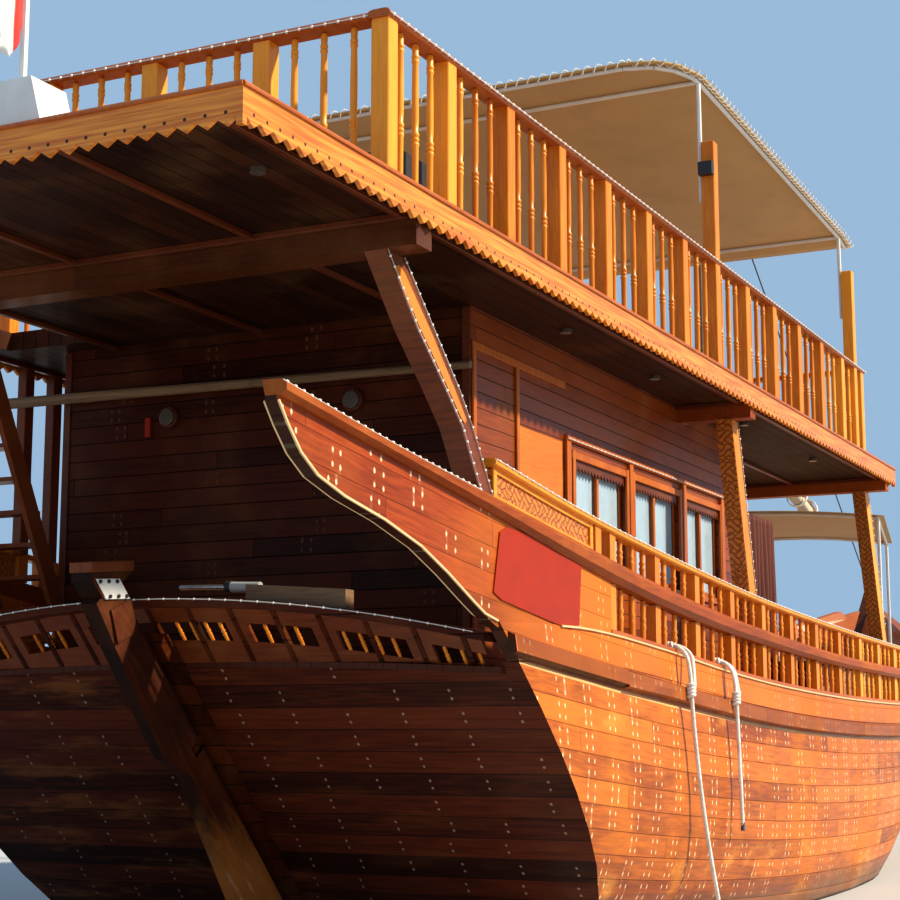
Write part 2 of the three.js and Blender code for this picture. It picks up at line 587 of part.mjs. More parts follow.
// Deckhouse doors, one leaf on each side, on knuckles at the outer edges of the doorway
const LEAF = { thick: 40, gap: 8, knuckle: 9, knuckleHigh: 100 };
const hingeX = HOUSE.fore + LEAF.knuckle + 0.5;
for (const [side, sign] of SIDES) {
  const leafLow = deckTop(HOUSE.fore) + 12;
  const span = (inner, outer) => [Math.min(sign * inner, sign * outer), Math.max(sign * inner, sign * outer)];
  const leaf = [block(HOUSE.fore - 50, HOUSE.fore - 50 + LEAF.thick, ...span(LEAF.gap, DOOR.half - LEAF.gap),
    leafLow, DOOR.high - LEAF.gap)];
  for (const z of [leafLow + 250, DOOR.high - 350]) {
    leaf.push(roundBar(LEAF.knuckle, [hingeX, sign * DOOR.half, z],
      [hingeX, sign * DOOR.half, z + LEAF.knuckleHigh], 12));
    leaf.push(block(HOUSE.fore - 15, HOUSE.fore + 14, ...span(DOOR.half - 40, DOOR.half - 5),
      z, z + LEAF.knuckleHigh));
  }
  add(`house_door_${side}`, join(leaf), 'railWood');
}

// Sun deck with its stair opening, the beams under it and the sawtooth fascia boards around it

const STAIR = { aft: -9200, fore: -7880, inner: 1400, outer: 2200 };
const deckPlate = block(SUN_DECK.aft + FASCIA.thick + SEAM, SUN_DECK.fore - FASCIA.thick - SEAM,
  -SUN_DECK.half + FASCIA.thick + SEAM, SUN_DECK.half - FASCIA.thick - SEAM,
  SUN_DECK.underside, SUN_DECK.top);
add('sun_deck', cut(deckPlate, [block(STAIR.aft, STAIR.fore, STAIR.inner, STAIR.outer,
  SUN_DECK.underside - 50, SUN_DECK.top + 50)]), 'deckWood');

// The fascia boards are one ring; a comb along each direction cuts the teeth in its lower edge
function comb(from, to) {
  const low = SUN_DECK.top - FASCIA.height;
  const count = Math.round((to - from) / FASCIA.pitch);
  const pitch = (to - from) / count;
  const outline = [[from, low + FASCIA.tooth]];
  for (let i = 0; i < count; i += 1) {
    outline.push([from + pitch * (i + 0.5), low]);
    outline.push([from + pitch * (i + 1), low + FASCIA.tooth]);
  }
  return outline.concat([[to, low - 40], [from, low - 40]]);
}
const fasciaInner = SUN_DECK.half - FASCIA.thick;
const fasciaLow = SUN_DECK.top - FASCIA.height - 5;
add('fascia', cut(block(SUN_DECK.aft, SUN_DECK.fore, -SUN_DECK.half, SUN_DECK.half, fasciaLow, SUN_DECK.top), [
  block(SUN_DECK.aft + FASCIA.thick, SUN_DECK.fore - FASCIA.thick, -fasciaInner, fasciaInner,
    fasciaLow - 50, SUN_DECK.top + 50),
  prism('xz', comb(SUN_DECK.aft + FASCIA.corner, SUN_DECK.fore - FASCIA.corner),
    -SUN_DECK.half - 20, SUN_DECK.half + 20),
  prism('yz', comb(-SUN_DECK.half + FASCIA.corner, SUN_DECK.half - FASCIA.corner),
    SUN_DECK.aft - 20, SUN_DECK.fore + 20),
]), 'railWood');

// Leaning struts between the heavy rails and the aft beam, and carved posts that stand on the main deck
// inside the rails and carry the other two beams
const CARVED = { wide: 150, thick: 200 };
const CARVED_POSTS = [
  { place: 'mid', beam: 1, x: -3000, headY: 2282, footY: 2495 },
  { place: 'fore', beam: 2, x: 2550, headY: 2210, footY: 2435 },
];
const STRUT = { aft: -9110, fore: -8920, half: 75, footY: 2525, headY: 2250 };
const STRUT_SHAPE = {
  fore: [[-9030, 3500], [-9130, 3740], [-9330, 4060]],
  aft: [[-9610, 4060], [-9370, 3740], [-9210, 3500]],
  head: [-9600, -9840],
};
const strutFeet = [STRUT.aft, WING.at(-2).x, STRUT.fore];
const beamLow = (i) => SUN_DECK.underside - SEAM - BEAMS[i].high - SEAM;
for (const [side, sign] of SIDES) {
  add(`stern_strut_${side}`, lean(prism('xz', [...strutFeet.map((x) => [x, heavyTop(x) + SEAM]),
    ...STRUT_SHAPE.fore, ...STRUT_SHAPE.head.map((x) => [x, beamLow(0)]), ...STRUT_SHAPE.aft],
  -STRUT.half, STRUT.half), heavyTop(STRUT.aft), sign * STRUT.footY, beamLow(0), sign * STRUT.headY), 'redWood');
  for (const post of CARVED_POSTS) {
    const [foot, head] = [deckTop(post.x, post.footY), beamLow(post.beam)];
    const stick = block(post.x - CARVED.thick / 2, post.x + CARVED.thick / 2, -CARVED.wide / 2, CARVED.wide / 2,
      foot - 60, head);
    add(`carved_post_${post.place}_${side}`, cut(lean(stick, foot, sign * post.footY, head, sign * post.headY),
      [belowDeck(post.x - 500, post.x + 500)]), 'railWood');
  }
}

// Spare spar held on brackets across the aft wall of the deckhouse
const SPAR = { x: HOUSE.aft - 60, stbd: [-1860, 4245, 30], port: [2450, 4310, 46] };
const spar = [roundBar(SPAR.port[2], [SPAR.x, SPAR.port[0], SPAR.port[1]],
  [SPAR.x, SPAR.stbd[0], SPAR.stbd[1]], 10, SPAR.stbd[2])];
for (const y of [-1600, 0, 1600]) {
  spar.push(block(SPAR.x, HOUSE.aft - SEAM, y - 25, y + 25, 4265, 4290));
}
add('cross_pole', join(spar), 'greyWood');

// Sun deck balustrades: posts, slim balusters and a hand rail on each side

const railTop = SUN_DECK.top + SUN_RAIL_HEIGHT;
const CAP = { wide: 140, high: 50 };
const TALL_POSTS = [-3980, 1120];
const TALL_TOP = 6950;
const railY = SUN_DECK.half - RAIL_POST.inset;
const railPlaces = Array.from({ length: RAIL_POST.count }, (_, i) => (i === 0 ? RAIL_POST.first
  : RAIL_POST.second + RAIL_POST.pitch * (i - 1)));
const railEnd = railPlaces.at(-1);
const upright = (x, y, half, top = railTop - 20) => block(x - half, x + half, y - half, y + half,
  SUN_DECK.top + SEAM, top);
for (const [side, sign] of SIDES) {
  const y = sign * railY;
  const parts = [block(RAIL_POST.first - 80, railEnd + 80, y - CAP.wide / 2, y + CAP.wide / 2,
    railTop - CAP.high, railTop)];
  for (const [i, x] of railPlaces.entries()) {
    parts.push(upright(x, y, RAIL_POST.size / 2));
    for (let k = 1; k <= 3 && x < railEnd; k += 1) {
      const place = x + ((railPlaces[i + 1] - x) * k) / 4;
      if (Math.abs(place - TALL_POSTS[1]) > 100) parts.push(upright(place, y, 22));
    }
  }
  for (const x of TALL_POSTS) parts.push(upright(x, y, RAIL_POST.size / 2, TALL_TOP));
  add(`sun_rail_${side}`, join(parts), 'railWood');
}
const crossHalf = railY - CAP.wide / 2 - SEAM;
for (const [end, x] of [['aft', RAIL_POST.first], ['fore', railEnd]]) {
  const parts = [block(x - CAP.wide / 2, x + CAP.wide / 2, -crossHalf, crossHalf, railTop - CAP.high, railTop)];
  const bays = 6;
  for (let i = 0; i <= bays * 4; i += 1) {
    const y = -railY + (2 * railY * i) / (bays * 4);
    const half = i % 4 === 0 ? RAIL_POST.size / 2 : 22;
    if (Math.abs(y) < crossHalf - 40) parts.push(upright(x, y, half));
  }
  add(`sun_rail_${end}`, join(parts), 'railWood');
}

// Canopy of canvas on a steel frame that is clamped to the tall posts. The canvas lies nearly flat and
// slopes down to the bow; its aft corners are rounded.

const CANVAS = 35;
const CANOPY = [
  { x: -4650, half: 1950, top: 7600 },
  { x: -4560, half: 2210, top: 7600 },
  { x: -4400, half: 2350, top: 7600 },
  { x: -4100, half: 2440, top: 7600 },
  { x: -3980, half: 2450, top: 7600 },
  { x: 1120, half: 2450, top: 7435 },
  { x: 1480, half: 2450, top: 7375 },
];
add('canopy', loft(CANOPY.map(({ x, half, top }) => [[x, -half, top - CANVAS], [x, -half, top],
  [x, half, top], [x, half, top - CANVAS]])), 'canvas');

const TUBE = 22;
const FRAME_HALF = 2400;
const FRAME_INSET = 50;
const frameParts = [];
const frameZ = ({ top }) => top - CANVAS - TUBE - SEAM;
const clamped = CANOPY.filter(({ x }) => TALL_POSTS.includes(x));
for (const row of clamped) {
  frameParts.push(roundBar(TUBE, [row.x, -FRAME_HALF, frameZ(row)], [row.x, FRAME_HALF, frameZ(row)], 8));
  for (const sign of [-1, 1]) {
    const y = sign * (railY - RAIL_POST.size / 2 - TUBE - SEAM);
    frameParts.push(roundBar(TUBE, [row.x, y, 6400], [row.x, sign * FRAME_HALF, frameZ(row)], 8));
  }
}
for (const sign of [-1, 1]) {
  const ring = CANOPY.map((row, i) => [row.x + (i < 3 ? FRAME_INSET : 0),
    sign * Math.min(FRAME_HALF, row.half - FRAME_INSET), frameZ(row) - 1]);
  ring.at(-1)[0] -= FRAME_INSET;
  for (let i = 0; i < ring.length - 1; i += 1) frameParts.push(roundBar(TUBE - 1, ring[i], ring[i + 1], 8));
  frameParts.push(roundBar(TUBE - 1, ring[0], [ring[0][0], 0, ring[0][2]], 8));
}
add('canopy_frame', join(frameParts), 'paintedSteel');

// Fore awning ahead of the sun deck, on a steel frame that stands on the main deck

const AWNING = { aft: 3620, fore: 7000, edge: 4380, rise: 160, thick: 30 };
const awningHalf = (x) => 2250 - 650 * ((x - AWNING.aft) / (AWNING.fore - AWNING.aft));
const awningRings = [];
for (let i = 0; i <= 8; i += 1) {
  const u = -1 + (2 * i) / 8;
  const z = AWNING.edge + AWNING.rise * (1 - u * u);
  awningRings.push([[AWNING.aft, u * awningHalf(AWNING.aft), z],
    [AWNING.aft, u * awningHalf(AWNING.aft), z + AWNING.thick],
    [AWNING.fore, u * awningHalf(AWNING.fore), z + AWNING.thick],
    [AWNING.fore, u * awningHalf(AWNING.fore), z]]);
}
add('fore_awning', loft(awningRings), 'canvas');
const awningParts = [];
const awningZ = (x, y) => AWNING.edge + AWNING.rise * (1 - (y / awningHalf(x)) ** 2) - TUBE - 3.5;
for (const x of [AWNING.aft + 120, AWNING.fore - 120]) {
  const half = awningHalf(x) - 80;
  const bow = Array.from({ length: 7 }, (_, i) => -half - 10 + ((half + 10) * i) / 3);
  awningParts.push(tube(TUBE, bow.map((y) => [x, y, awningZ(x, y)]), 8));
  for (const sign of [-1, 1]) {
    awningParts.push(roundBar(TUBE, [x, sign * half, deckTop(x, half) - 30],
      [x, sign * half, awningZ(x, half) + 6], 8));
  }
}
for (const sign of [-1, 1]) {
  const end = (x) => [x, sign * (awningHalf(x) - 80), awningZ(x, awningHalf(x) - 80)];
  awningParts.push(roundBar(TUBE - 2, end(AWNING.aft + 60), end(AWNING.fore - 60), 8));
}
add('awning_frame', cut(join(awningParts), [belowDeck(3000, 7500)]), 'paintedSteel');

// Curtains on both sides of the entrance, laced to the fore edges of the deckhouse walls
for (const [side, sign] of SIDES) {
  const [a, b] = [sign * (HOUSE.half - 10), sign * (HOUSE.half - 90)];
  add(`curtain_${side}`, block(HOUSE.fore + SEAM, 260, Math.min(a, b), Math.max(a, b), 2400, 3960), 'curtain');
}

// Ladder from the main deck up and aft to the sun deck, through the opening
const LADDER = { foot: -7700, head: -9150, deep: 160, thick: 45, inner: 1480, outer: 2120, treads: 10 };
const headZ = SUN_DECK.underside - SEAM;
const stairParts = [];
for (const y of [LADDER.inner, LADDER.outer - LADDER.thick]) {
  const footZ = deckTop(LADDER.foot, y) - 80;
  stairParts.push(prism('xz', [[LADDER.foot, footZ], [LADDER.foot - LADDER.deep, footZ],
    [LADDER.head - 40, headZ], [LADDER.head + LADDER.deep - 40, headZ]], y, y + LADDER.thick));
}
for (let i = 1; i <= LADDER.treads; i += 1) {
  const share = i / (LADDER.treads + 1);
  const x = LADDER.foot - LADDER.deep / 2 + (LADDER.head + LADDER.deep - 40 - LADDER.foot) * share;
  const z = deckTop(LADDER.foot, LADDER.inner) + (headZ - deckTop(LADDER.foot, LADDER.inner)) * share;
  stairParts.push(block(x - 80, x + 80, LADDER.inner + 10, LADDER.outer - 10, z - 16, z + 16));
}
add('stair', cut(join(stairParts), [belowDeck(-8500, -7000)]), 'railWood');

// Rudder, its steel plate and the steering ram

const rakeDown = new THREE.Vector3(Math.sin(TRANSOM_RAKE), 0, -Math.cos(TRANSOM_RAKE));
const rakeAft = new THREE.Vector3(-Math.cos(TRANSOM_RAKE), 0, -Math.sin(TRANSOM_RAKE));
const axisOffset = STERNPOST_DEPTH + RUDDER_GAP + RUDDER_HALF;
const axisTop = new THREE.Vector3(transomX(2480), 0, 2480).addScaledVector(rakeAft, axisOffset);
// Chord of the blade behind its axis, by distance down the axis from the level of the taffrail
const BLADE = [
  { down: -400, chord: 230 },
  { down: 900, chord: 330 },
  { down: 1200, chord: 200 },
  { down: 2600, chord: 420 },
  { down: 4200, chord: 900 },
  { down: 4600, chord: 1000 },
  { down: 5250, chord: 300 },
];
const bladeRings = BLADE.map(({ down, chord }) => {
  const centre = axisTop.clone().addScaledVector(rakeDown, down);
  const point = (aft, y) => centre.clone().addScaledVector(rakeAft, aft).setY(y).toArray();
  const nose = [];
  for (let i = 0; i <= 3; i += 1) {
    const angle = (90 * i * DEG) / 3;
    nose.push([-RUDDER_HALF * Math.cos(angle), RUDDER_HALF * Math.sin(angle)]);
  }
  const tail = RUDDER_HALF * (chord > 300 ? 0.5 : 0.9);
  const half = nose.map(([aft, y]) => [aft, Math.max(y, 6)]).concat([[chord, tail]]);
  return half.map(([aft, y]) => point(aft, y)).concat(half.map(([aft, y]) => point(aft, -y)).reverse());
});
// Gudgeons reach from the sternpost into notches of the blade, around its pintle pins
const GUDGEON = { places: [1100, 4000], high: 76, half: 50, aft: 45, hole: 16, pin: 15.5, notch: 76, room: 8 };
const onRake = (geometry, down) => {
  const turn = new THREE.Matrix4().makeBasis(rakeAft, AXIS.y, rakeDown);
  return geometry.translate(0, 0, down).applyMatrix4(turn.setPosition(axisTop));
};
const gudgeonTools = GUDGEON.places.map((down) => ({
  notch: onRake(block(-RUDDER_HALF - 20, GUDGEON.notch, -100, 100,
    -GUDGEON.high / 2 - GUDGEON.room, GUDGEON.high / 2 + GUDGEON.room), down),
  pin: onRake(roundBar(GUDGEON.pin, [0, 0, -GUDGEON.high], [0, 0, GUDGEON.high], 16), down),
  lug: onRake(block(-RUDDER_HALF - RUDDER_GAP - 40, GUDGEON.aft, -GUDGEON.half, GUDGEON.half,
    -GUDGEON.high / 2, GUDGEON.high / 2), down),
  hole: onRake(roundBar(GUDGEON.hole, [0, 0, -GUDGEON.high], [0, 0, GUDGEON.high], 16), down),
}));
add('keel_stem_sternpost', cut(join([backbone, ...gudgeonTools.map(({ lug }) => lug)]),
  gudgeonTools.map(({ hole }) => hole)), 'darkWood');

const HEAD_CAP = {
  outline: [[-9245, 2700], [-9240, 2765], [-9690, 2715], [-9680, 2600], [-9560, 2500], [-9350, 2620]],
  half: 85,
};
const plateCentre = axisTop.clone().addScaledVector(rakeDown, -130).addScaledVector(rakeAft, 90);
const steeringPlate = new THREE.BoxGeometry(230, 10, 230);
steeringPlate.rotateY(-TRANSOM_RAKE / 2).translate(plateCentre.x, -RUDDER_HALF - 4, plateCentre.z);
add('rudder', join([cut(loft(bladeRings), gudgeonTools.map(({ notch }) => notch)),
  ...gudgeonTools.map(({ pin }) => pin), steeringPlate,
  prism('xz', HEAD_CAP.outline, -HEAD_CAP.half, HEAD_CAP.half)]), 'darkWood');

const RAM = { x: -8880, z: 2590, plank: [-1550, -1250, -833, -780] };
const plankLow = chord((y) => taffrailTop(y) + 4 * SEAM, taffRings.map((_, i) => -2500 + (5000 * i) / 12));
add('steering_ram', join([
  roundBar(16, [RAM.x, -230, RAM.z + 20], [RAM.x, -620, RAM.z + 10], 8),
  roundBar(34, [RAM.x, -600, RAM.z + 10], [RAM.x, -860, RAM.z], 10),
  prism('yz', [...RAM.plank.map((y) => [y, plankLow(y)]), [-780, RAM.z + 20], [-1550, RAM.z - 40]],
    RAM.x - 50, RAM.x + 60),
]), 'darkSteel');

// Propeller
const bladesAndHub = [roundBar(SCREW.hub, [SCREW.x - 110, 0, SCREW.z], [SCREW.x + 110, 0, SCREW.z], 12)];
for (let i = 0; i < 4; i += 1) {
  const blade = new THREE.BoxGeometry(24, 210, SCREW.radius - 40);
  blade.rotateZ(28 * DEG).translate(0, 0, SCREW.radius / 2 + 20).rotateX(90 * i * DEG);
  bladesAndHub.push(blade.translate(SCREW.x, 0, SCREW.z));
}
bladesAndHub.push(roundBar(35, [SCREW.x + 100, 0, SCREW.z], [SCREW.x + 229.6, 0, SCREW.z], 10));
add('propeller', join(bladesAndHub), 'bronze');

// Mast, yard with the furled sail, and the forestay

const mastFoot = deckTop(MAST.x) - 60;
const mast = new THREE.CylinderGeometry(MAST.radius * 0.62, MAST.radius, MAST.top - mastFoot, 12);
mast.rotateX(90 * DEG).translate(MAST.x, 0, (MAST.top + mastFoot) / 2);
add('mast', cut(mast, [belowDeck(2800, 3700)]), 'railWood');

const YARD = { heel: [3620, 0, 6380], tip: [9700, 0, 4900], sling: 6380 };
const collar = (radius, height) => new THREE.CylinderGeometry(radius, radius, height, 16)
  .rotateX(90 * DEG).translate(MAST.x, 0, YARD.sling);
add('yard', cut(join([
  roundBar(55, YARD.heel, YARD.tip, 10),
  collar(150, 120),
  block(MAST.x + 120, YARD.heel[0] + 60, -50, 50, YARD.sling - 58, YARD.sling + 45),
]), [collar(90.2, 300)]), 'greyWood');
// The flats of both round bars lie a little inside their radii
const FLATS = 6;
const along = new THREE.Vector3(...YARD.tip).sub(new THREE.Vector3(...YARD.heel)).normalize();
const under = new THREE.Vector3(along.z, 0, -along.x);
const sailEnd = (place, radius) => new THREE.Vector3(...YARD.heel).addScaledVector(along, place)
  .addScaledVector(under, 55 + radius - FLATS).toArray();
add('furled_sail', roundBar(150, sailEnd(450, 150), sailEnd(5650, 90), 10, 90), 'canvas');

add('forestay', roundBar(10, [MAST.x + 74.2, 0, 10120], [stemX(STEM_HEAD.z) + 60, 0, STEM_HEAD.z + 9], 6), 'rope');

// Helm on the sun deck
const HELM = { x: 650, y: -300, axle: 5700 };
add('helm_console', block(HELM.x, HELM.x + 420, HELM.y - 350, HELM.y + 350, SUN_DECK.top + SEAM, 5950), 'redWood');
const wheel = [new THREE.TorusGeometry(300, 18, 6, 18).rotateY(90 * DEG),
  new THREE.CylinderGeometry(45, 45, 70, 10).rotateZ(90 * DEG)];
for (let i = 0; i < 3; i += 1) {
  wheel.push(new THREE.CylinderGeometry(11, 11, 760, 6).rotateX(60 * i * DEG));
}
wheel.push(new THREE.CylinderGeometry(14, 14, 90, 8).rotateZ(90 * DEG).translate(40, 0, 0));
const helmWheel = join(wheel);
add('helm_wheel', helmWheel.translate(HELM.x - 85.5, HELM.y, HELM.axle), 'railWood');

// Hinged lid of the fore hatch, and mooring bitts
add('hatch_lid', block(HATCH.aft - 30, HATCH.fore + 30, -HATCH.half - 30, HATCH.half + 30,
  hatchTop + SEAM, hatchTop + 40), 'railWood');
const BITTS = { x: 9000, y: 420, foot: deckTop(9000) };
add('mooring_bitts', cut(join([
  block(BITTS.x - 60, BITTS.x + 60, BITTS.y - 60, BITTS.y + 60, BITTS.foot - 60, BITTS.foot + 520),
  block(BITTS.x - 60, BITTS.x + 60, -BITTS.y - 60, -BITTS.y + 60, BITTS.foot - 60, BITTS.foot + 520),
  roundBar(45, [BITTS.x, -BITTS.y - 200, BITTS.foot + 350], [BITTS.x, BITTS.y + 200, BITTS.foot + 350], 8),
]), [belowDeck(8500, 9500)]), 'redWood');

// Flag on its stand at the aft edge of the sun deck
const FLAG = { x: -11560, y: -950 };
add('flag_stand', join([prism('yz', [[FLAG.y - 285, SUN_DECK.top + SEAM], [FLAG.y + 285, SUN_DECK.top + SEAM],
  [FLAG.y + 200, SUN_DECK.top + 305], [FLAG.y - 200, SUN_DECK.top + 305]], FLAG.x - 170, FLAG.x + 130),
roundBar(22, [FLAG.x, FLAG.y, SUN_DECK.top + 300], [FLAG.x, FLAG.y, SUN_DECK.top + 2600], 8)]), 'white');
add('flag', block(FLAG.x - 420, FLAG.x - 22 - SEAM, FLAG.y - 40, FLAG.y + 20, SUN_DECK.top + 700, SUN_DECK.top + 2300), 'canvas');

// Dark chest on the sun deck, and the floodlight on the aft canopy post
add('deck_chest', block(-9350, -8850, -2150, -1650, SUN_DECK.top + SEAM, SUN_DECK.top + 470), 'darkSteel');
add('floodlight', block(TALL_POSTS[0] - 130, TALL_POSTS[0] - 60 - SEAM, -railY - 60, -railY + 70, 6620, 6740), 'darkSteel');

// Mooring ropes: each starts in a knot on the foot strip of the open tier, passes over the hull's top edge and
// hangs down the starboard side, the long one to a second knot and the short one to its bound tip

const ROPE_RADIUS = 17;
const ROPES = [
  {
    name: 'rope_long',
    steps: 60,
    route: [
      [-5680, -2575, 2307.2], [-5680, -2615, 2307.2], [-5680, -2655, 2304], [-5680, -2695, 2286],
      [-5679, -2730, 2256], [-5677, -2755, 2214], [-5675, -2768, 2155], [-5670, -2776, 2068],
      [-5660, -2779, 1960], [-5645, -2781, 1820], [-5620, -2784, 1660], [-5590, -2788, 1490],
      [-5555, -2793, 1310], [-5515, -2799, 1130], [-5470, -2806, 950], [-5420, -2814, 770],
      [-5365, -2823, 590], [-5305, -2833, 410], [-5255, -2842, 260],
    ],
    ends: [
      { radius: 30, from: [-5680, -2560, 2307.2], to: [-5680, -2620, 2307.2] },
      { radius: 30, from: [-5265, -2840, 290], to: [-5248, -2844, 238] },
    ],
  },
  {
    name: 'rope_short',
    steps: 44,
    route: [
      [-4560, -2592, 2224], [-4560, -2632, 2224], [-4560, -2672, 2220], [-4560, -2712, 2202],
      [-4559, -2746, 2171], [-4557, -2769, 2128], [-4553, -2781, 2070], [-4547, -2787, 2000],
      [-4540, -2790, 1920], [-4532, -2791, 1820], [-4524, -2792, 1700], [-4516, -2793, 1570],
      [-4508, -2794, 1440], [-4500, -2795, 1310], [-4492, -2796, 1180], [-4485, -2797, 1050],
      [-4479, -2798, 930], [-4475, -2799, 850],
    ],
    ends: [
      { radius: 30, from: [-4560, -2577, 2224], to: [-4560, -2637, 2224] },
      { radius: 20, from: [-4478, -2798, 905], to: [-4474, -2799, 840] },
    ],
  },
];
for (const rope of ROPES) {
  add(rope.name, join([tube(ROPE_RADIUS, rope.route, rope.steps),
    ...rope.ends.map((end) => roundBar(end.radius, end.from, end.to))]), 'rope');
}

export default boat;
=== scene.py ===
import math

import bpy
from mathutils import Matrix, Vector


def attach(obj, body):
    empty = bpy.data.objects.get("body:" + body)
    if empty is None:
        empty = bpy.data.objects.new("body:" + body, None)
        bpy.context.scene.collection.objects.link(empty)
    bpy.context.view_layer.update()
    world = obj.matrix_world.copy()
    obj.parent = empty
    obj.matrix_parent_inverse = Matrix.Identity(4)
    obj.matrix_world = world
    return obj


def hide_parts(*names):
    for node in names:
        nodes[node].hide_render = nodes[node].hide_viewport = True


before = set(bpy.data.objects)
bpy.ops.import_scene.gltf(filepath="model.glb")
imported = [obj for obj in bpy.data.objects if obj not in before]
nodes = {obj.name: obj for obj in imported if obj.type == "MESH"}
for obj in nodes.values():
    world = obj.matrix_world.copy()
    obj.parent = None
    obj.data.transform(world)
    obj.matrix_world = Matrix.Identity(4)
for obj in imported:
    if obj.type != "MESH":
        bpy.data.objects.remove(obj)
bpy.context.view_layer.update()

# The camera: low behind the starboard quarter, looking forward and a little up, as the photograph was taken.
camera_tilt, camera_heading = math.radians(90 + 9.15), math.radians(26.37 - 90)
bpy.ops.object.camera_add(location=(-19.0, -7.30, 1.6), rotation=(camera_tilt, 0, camera_heading))
camera = bpy.context.object
camera.data.lens = 71.24
camera.data.sensor_width = 36
camera.data.clip_end = 200
bpy.context.scene.camera = camera


# Two mooring ropes of laid white fibre hang down the starboard side. Each passes over the hull's top edge
# from a knot on the foot strip of the open rail; the long one ends in a knot, the short one in a bound tip.
class Value:
    """One number or colour in a finish; sums on it add Math nodes."""

    def __init__(self, finish, socket):
        self.finish, self.socket = finish, socket

    def maths(self, operation, *values):
        return self.finish.node("Math", {"operation": operation}, dict(enumerate(values)))

    def sine(self):
        return self.maths("SINE", self)


def sum_of(operation, turned_round):
    """A sum on values, with its two sides swapped where it is turned round."""
    return lambda *sides: sides[0].maths(operation, *(sides[::-1] if turned_round else sides))


sums = {"add": "ADD", "sub": "SUBTRACT", "mul": "MULTIPLY", "truediv": "DIVIDE", "pow": "POWER",
        "mod": "FLOORED_MODULO", "gt": "GREATER_THAN", "lt": "LESS_THAN", "abs": "ABSOLUTE", "floor": "FLOOR"}
turned_sums = {"radd": "ADD", "rsub": "SUBTRACT", "rmul": "MULTIPLY"}
for named_sums, turned_round in ((sums, False), (turned_sums, True)):
    for method, operation in named_sums.items():
        setattr(Value, f"__{method}__", sum_of(operation, turned_round))


class Finish:
    """A surface finish that is mixed from nodes."""

    def __init__(self, name, **fixed):
        self.material = bpy.data.materials.new(name)
        self.material.use_nodes = True
        self.tree = self.material.node_tree
        self.shader = next(n for n in self.tree.nodes if n.type == "BSDF_PRINCIPLED")
        for socket, value in fixed.items():
            self.shader.inputs[socket.replace("_", " ")].default_value = value

    def node(self, kind, settings={}, values={}, out=0):
        made = self.tree.nodes.new("ShaderNode" + kind)
        for name, setting in settings.items():
            setattr(made, name, setting)
        for place, value in values.items():
            if isinstance(value, Value):
                self.tree.links.new(value.socket, made.inputs[place])
            else:
                made.inputs[place].default_value = value
        return Value(self, made.outputs[out])

    def place(self, source="Object"):
        """The three coordinates of a point of the surface."""
        vector = self.node("TexCoord", out=("Generated", "Normal", "UV", "Object").index(source))
        return [self.node("SeparateXYZ", {}, {0: vector}, out=i) for i in range(3)]

    def vector(self, x, y, z):
        return self.node("CombineXYZ", {}, {0: x, 1: y, 2: z})

    def noise(self, vector, scale=1.0, detail=3.0, rough=0.5):
        values = {"Vector": vector, "Scale": scale, "Detail": detail, "Roughness": rough}
        return self.node("TexNoise", {}, values)

    def grain(self, place, stretch, detail, rough=0.5):
        """Noise with its own scale along each of the three ways."""
        return self.noise(self.vector(*(way * share for way, share in zip(place, stretch))), 1, detail, rough)

    def chance(self, x, y):
        return self.node("TexWhiteNoise", {"noise_dimensions": "3D"}, {"Vector": self.vector(x, y, 0.5)})

    def clamp(self, value):
        return self.node("Clamp", {}, {0: value})

    def step(self, value, low, high):
        """0 at low, 1 at high, smooth between them."""
        return self.node("MapRange", {"interpolation_type": "SMOOTHSTEP"},
                         {"Value": value, "From Min": low, "From Max": high})

    def mix(self, share, first, second):
        return self.node("Mix", {"data_type": "RGBA"}, {0: share, 6: first, 7: second}, out=2)

    def wear(self, colour=None, rough=None, height=None, depth=0.004, **more):
        """Feeds the shader; height is in shares of depth, in metres."""
        for socket, value in {"Base Color": colour, "Roughness": rough, **more}.items():
            if isinstance(value, Value):
                self.tree.links.new(value.socket, self.shader.inputs[socket.replace("_", " ")])
        if height is not None:
            bump = self.node("Bump", {}, {"Height": height, "Distance": depth, "Strength": 1.0})
            self.tree.links.new(bump.socket, self.shader.inputs["Normal"])
        return self.material


def rope_fibre(name, pale, dark):
    """Laid fibre: fine hairs across the strands, and dirt in the hollows between them."""
    finish = Finish(name, Sheen_Weight=0.3)
    x, y, z = finish.place()
    hairs = finish.grain((x, y, z), (160, 160, 60), 4)
    dirt = finish.noise(finish.vector(x, y, z), 7, 3)
    colour = finish.mix(finish.step(hairs * 0.5 + dirt * 0.5, 0.3, 0.62), dark, pale)
    return finish.wear(colour, 0.75 + hairs * 0.2, hairs, 0.002)


def smooth_route(route, steps):
    """Points along one smooth curve through the route's points."""
    line, last = [], len(route) - 1
    for i in range(last):
        a, b, c, d = (Vector(route[min(max(k, 0), last)]) for k in (i - 1, i, i + 1, i + 2))
        for k in range(steps):
            t = k / steps
            line.append(0.5 * (2 * b + (c - a) * t + (2 * a - 5 * b + 4 * c - d) * t ** 2
                               + (3 * b - 3 * c + d - a) * t ** 3))
    return line + [Vector(route[last])]


def new_mesh(name, verts, faces, smooth=False):
    mesh = bpy.data.meshes.new(name)
    mesh.from_pydata([tuple(v) for v in verts], [], faces)
    mesh.polygons.foreach_set("use_smooth", [smooth] * len(mesh.polygons))
    piece = bpy.data.objects.new(name, mesh)
    bpy.context.scene.collection.objects.link(piece)
    return piece


def pick(piece):
    bpy.ops.object.select_all(action="DESELECT")
    piece.select_set(True)
    bpy.context.view_layer.objects.active = piece


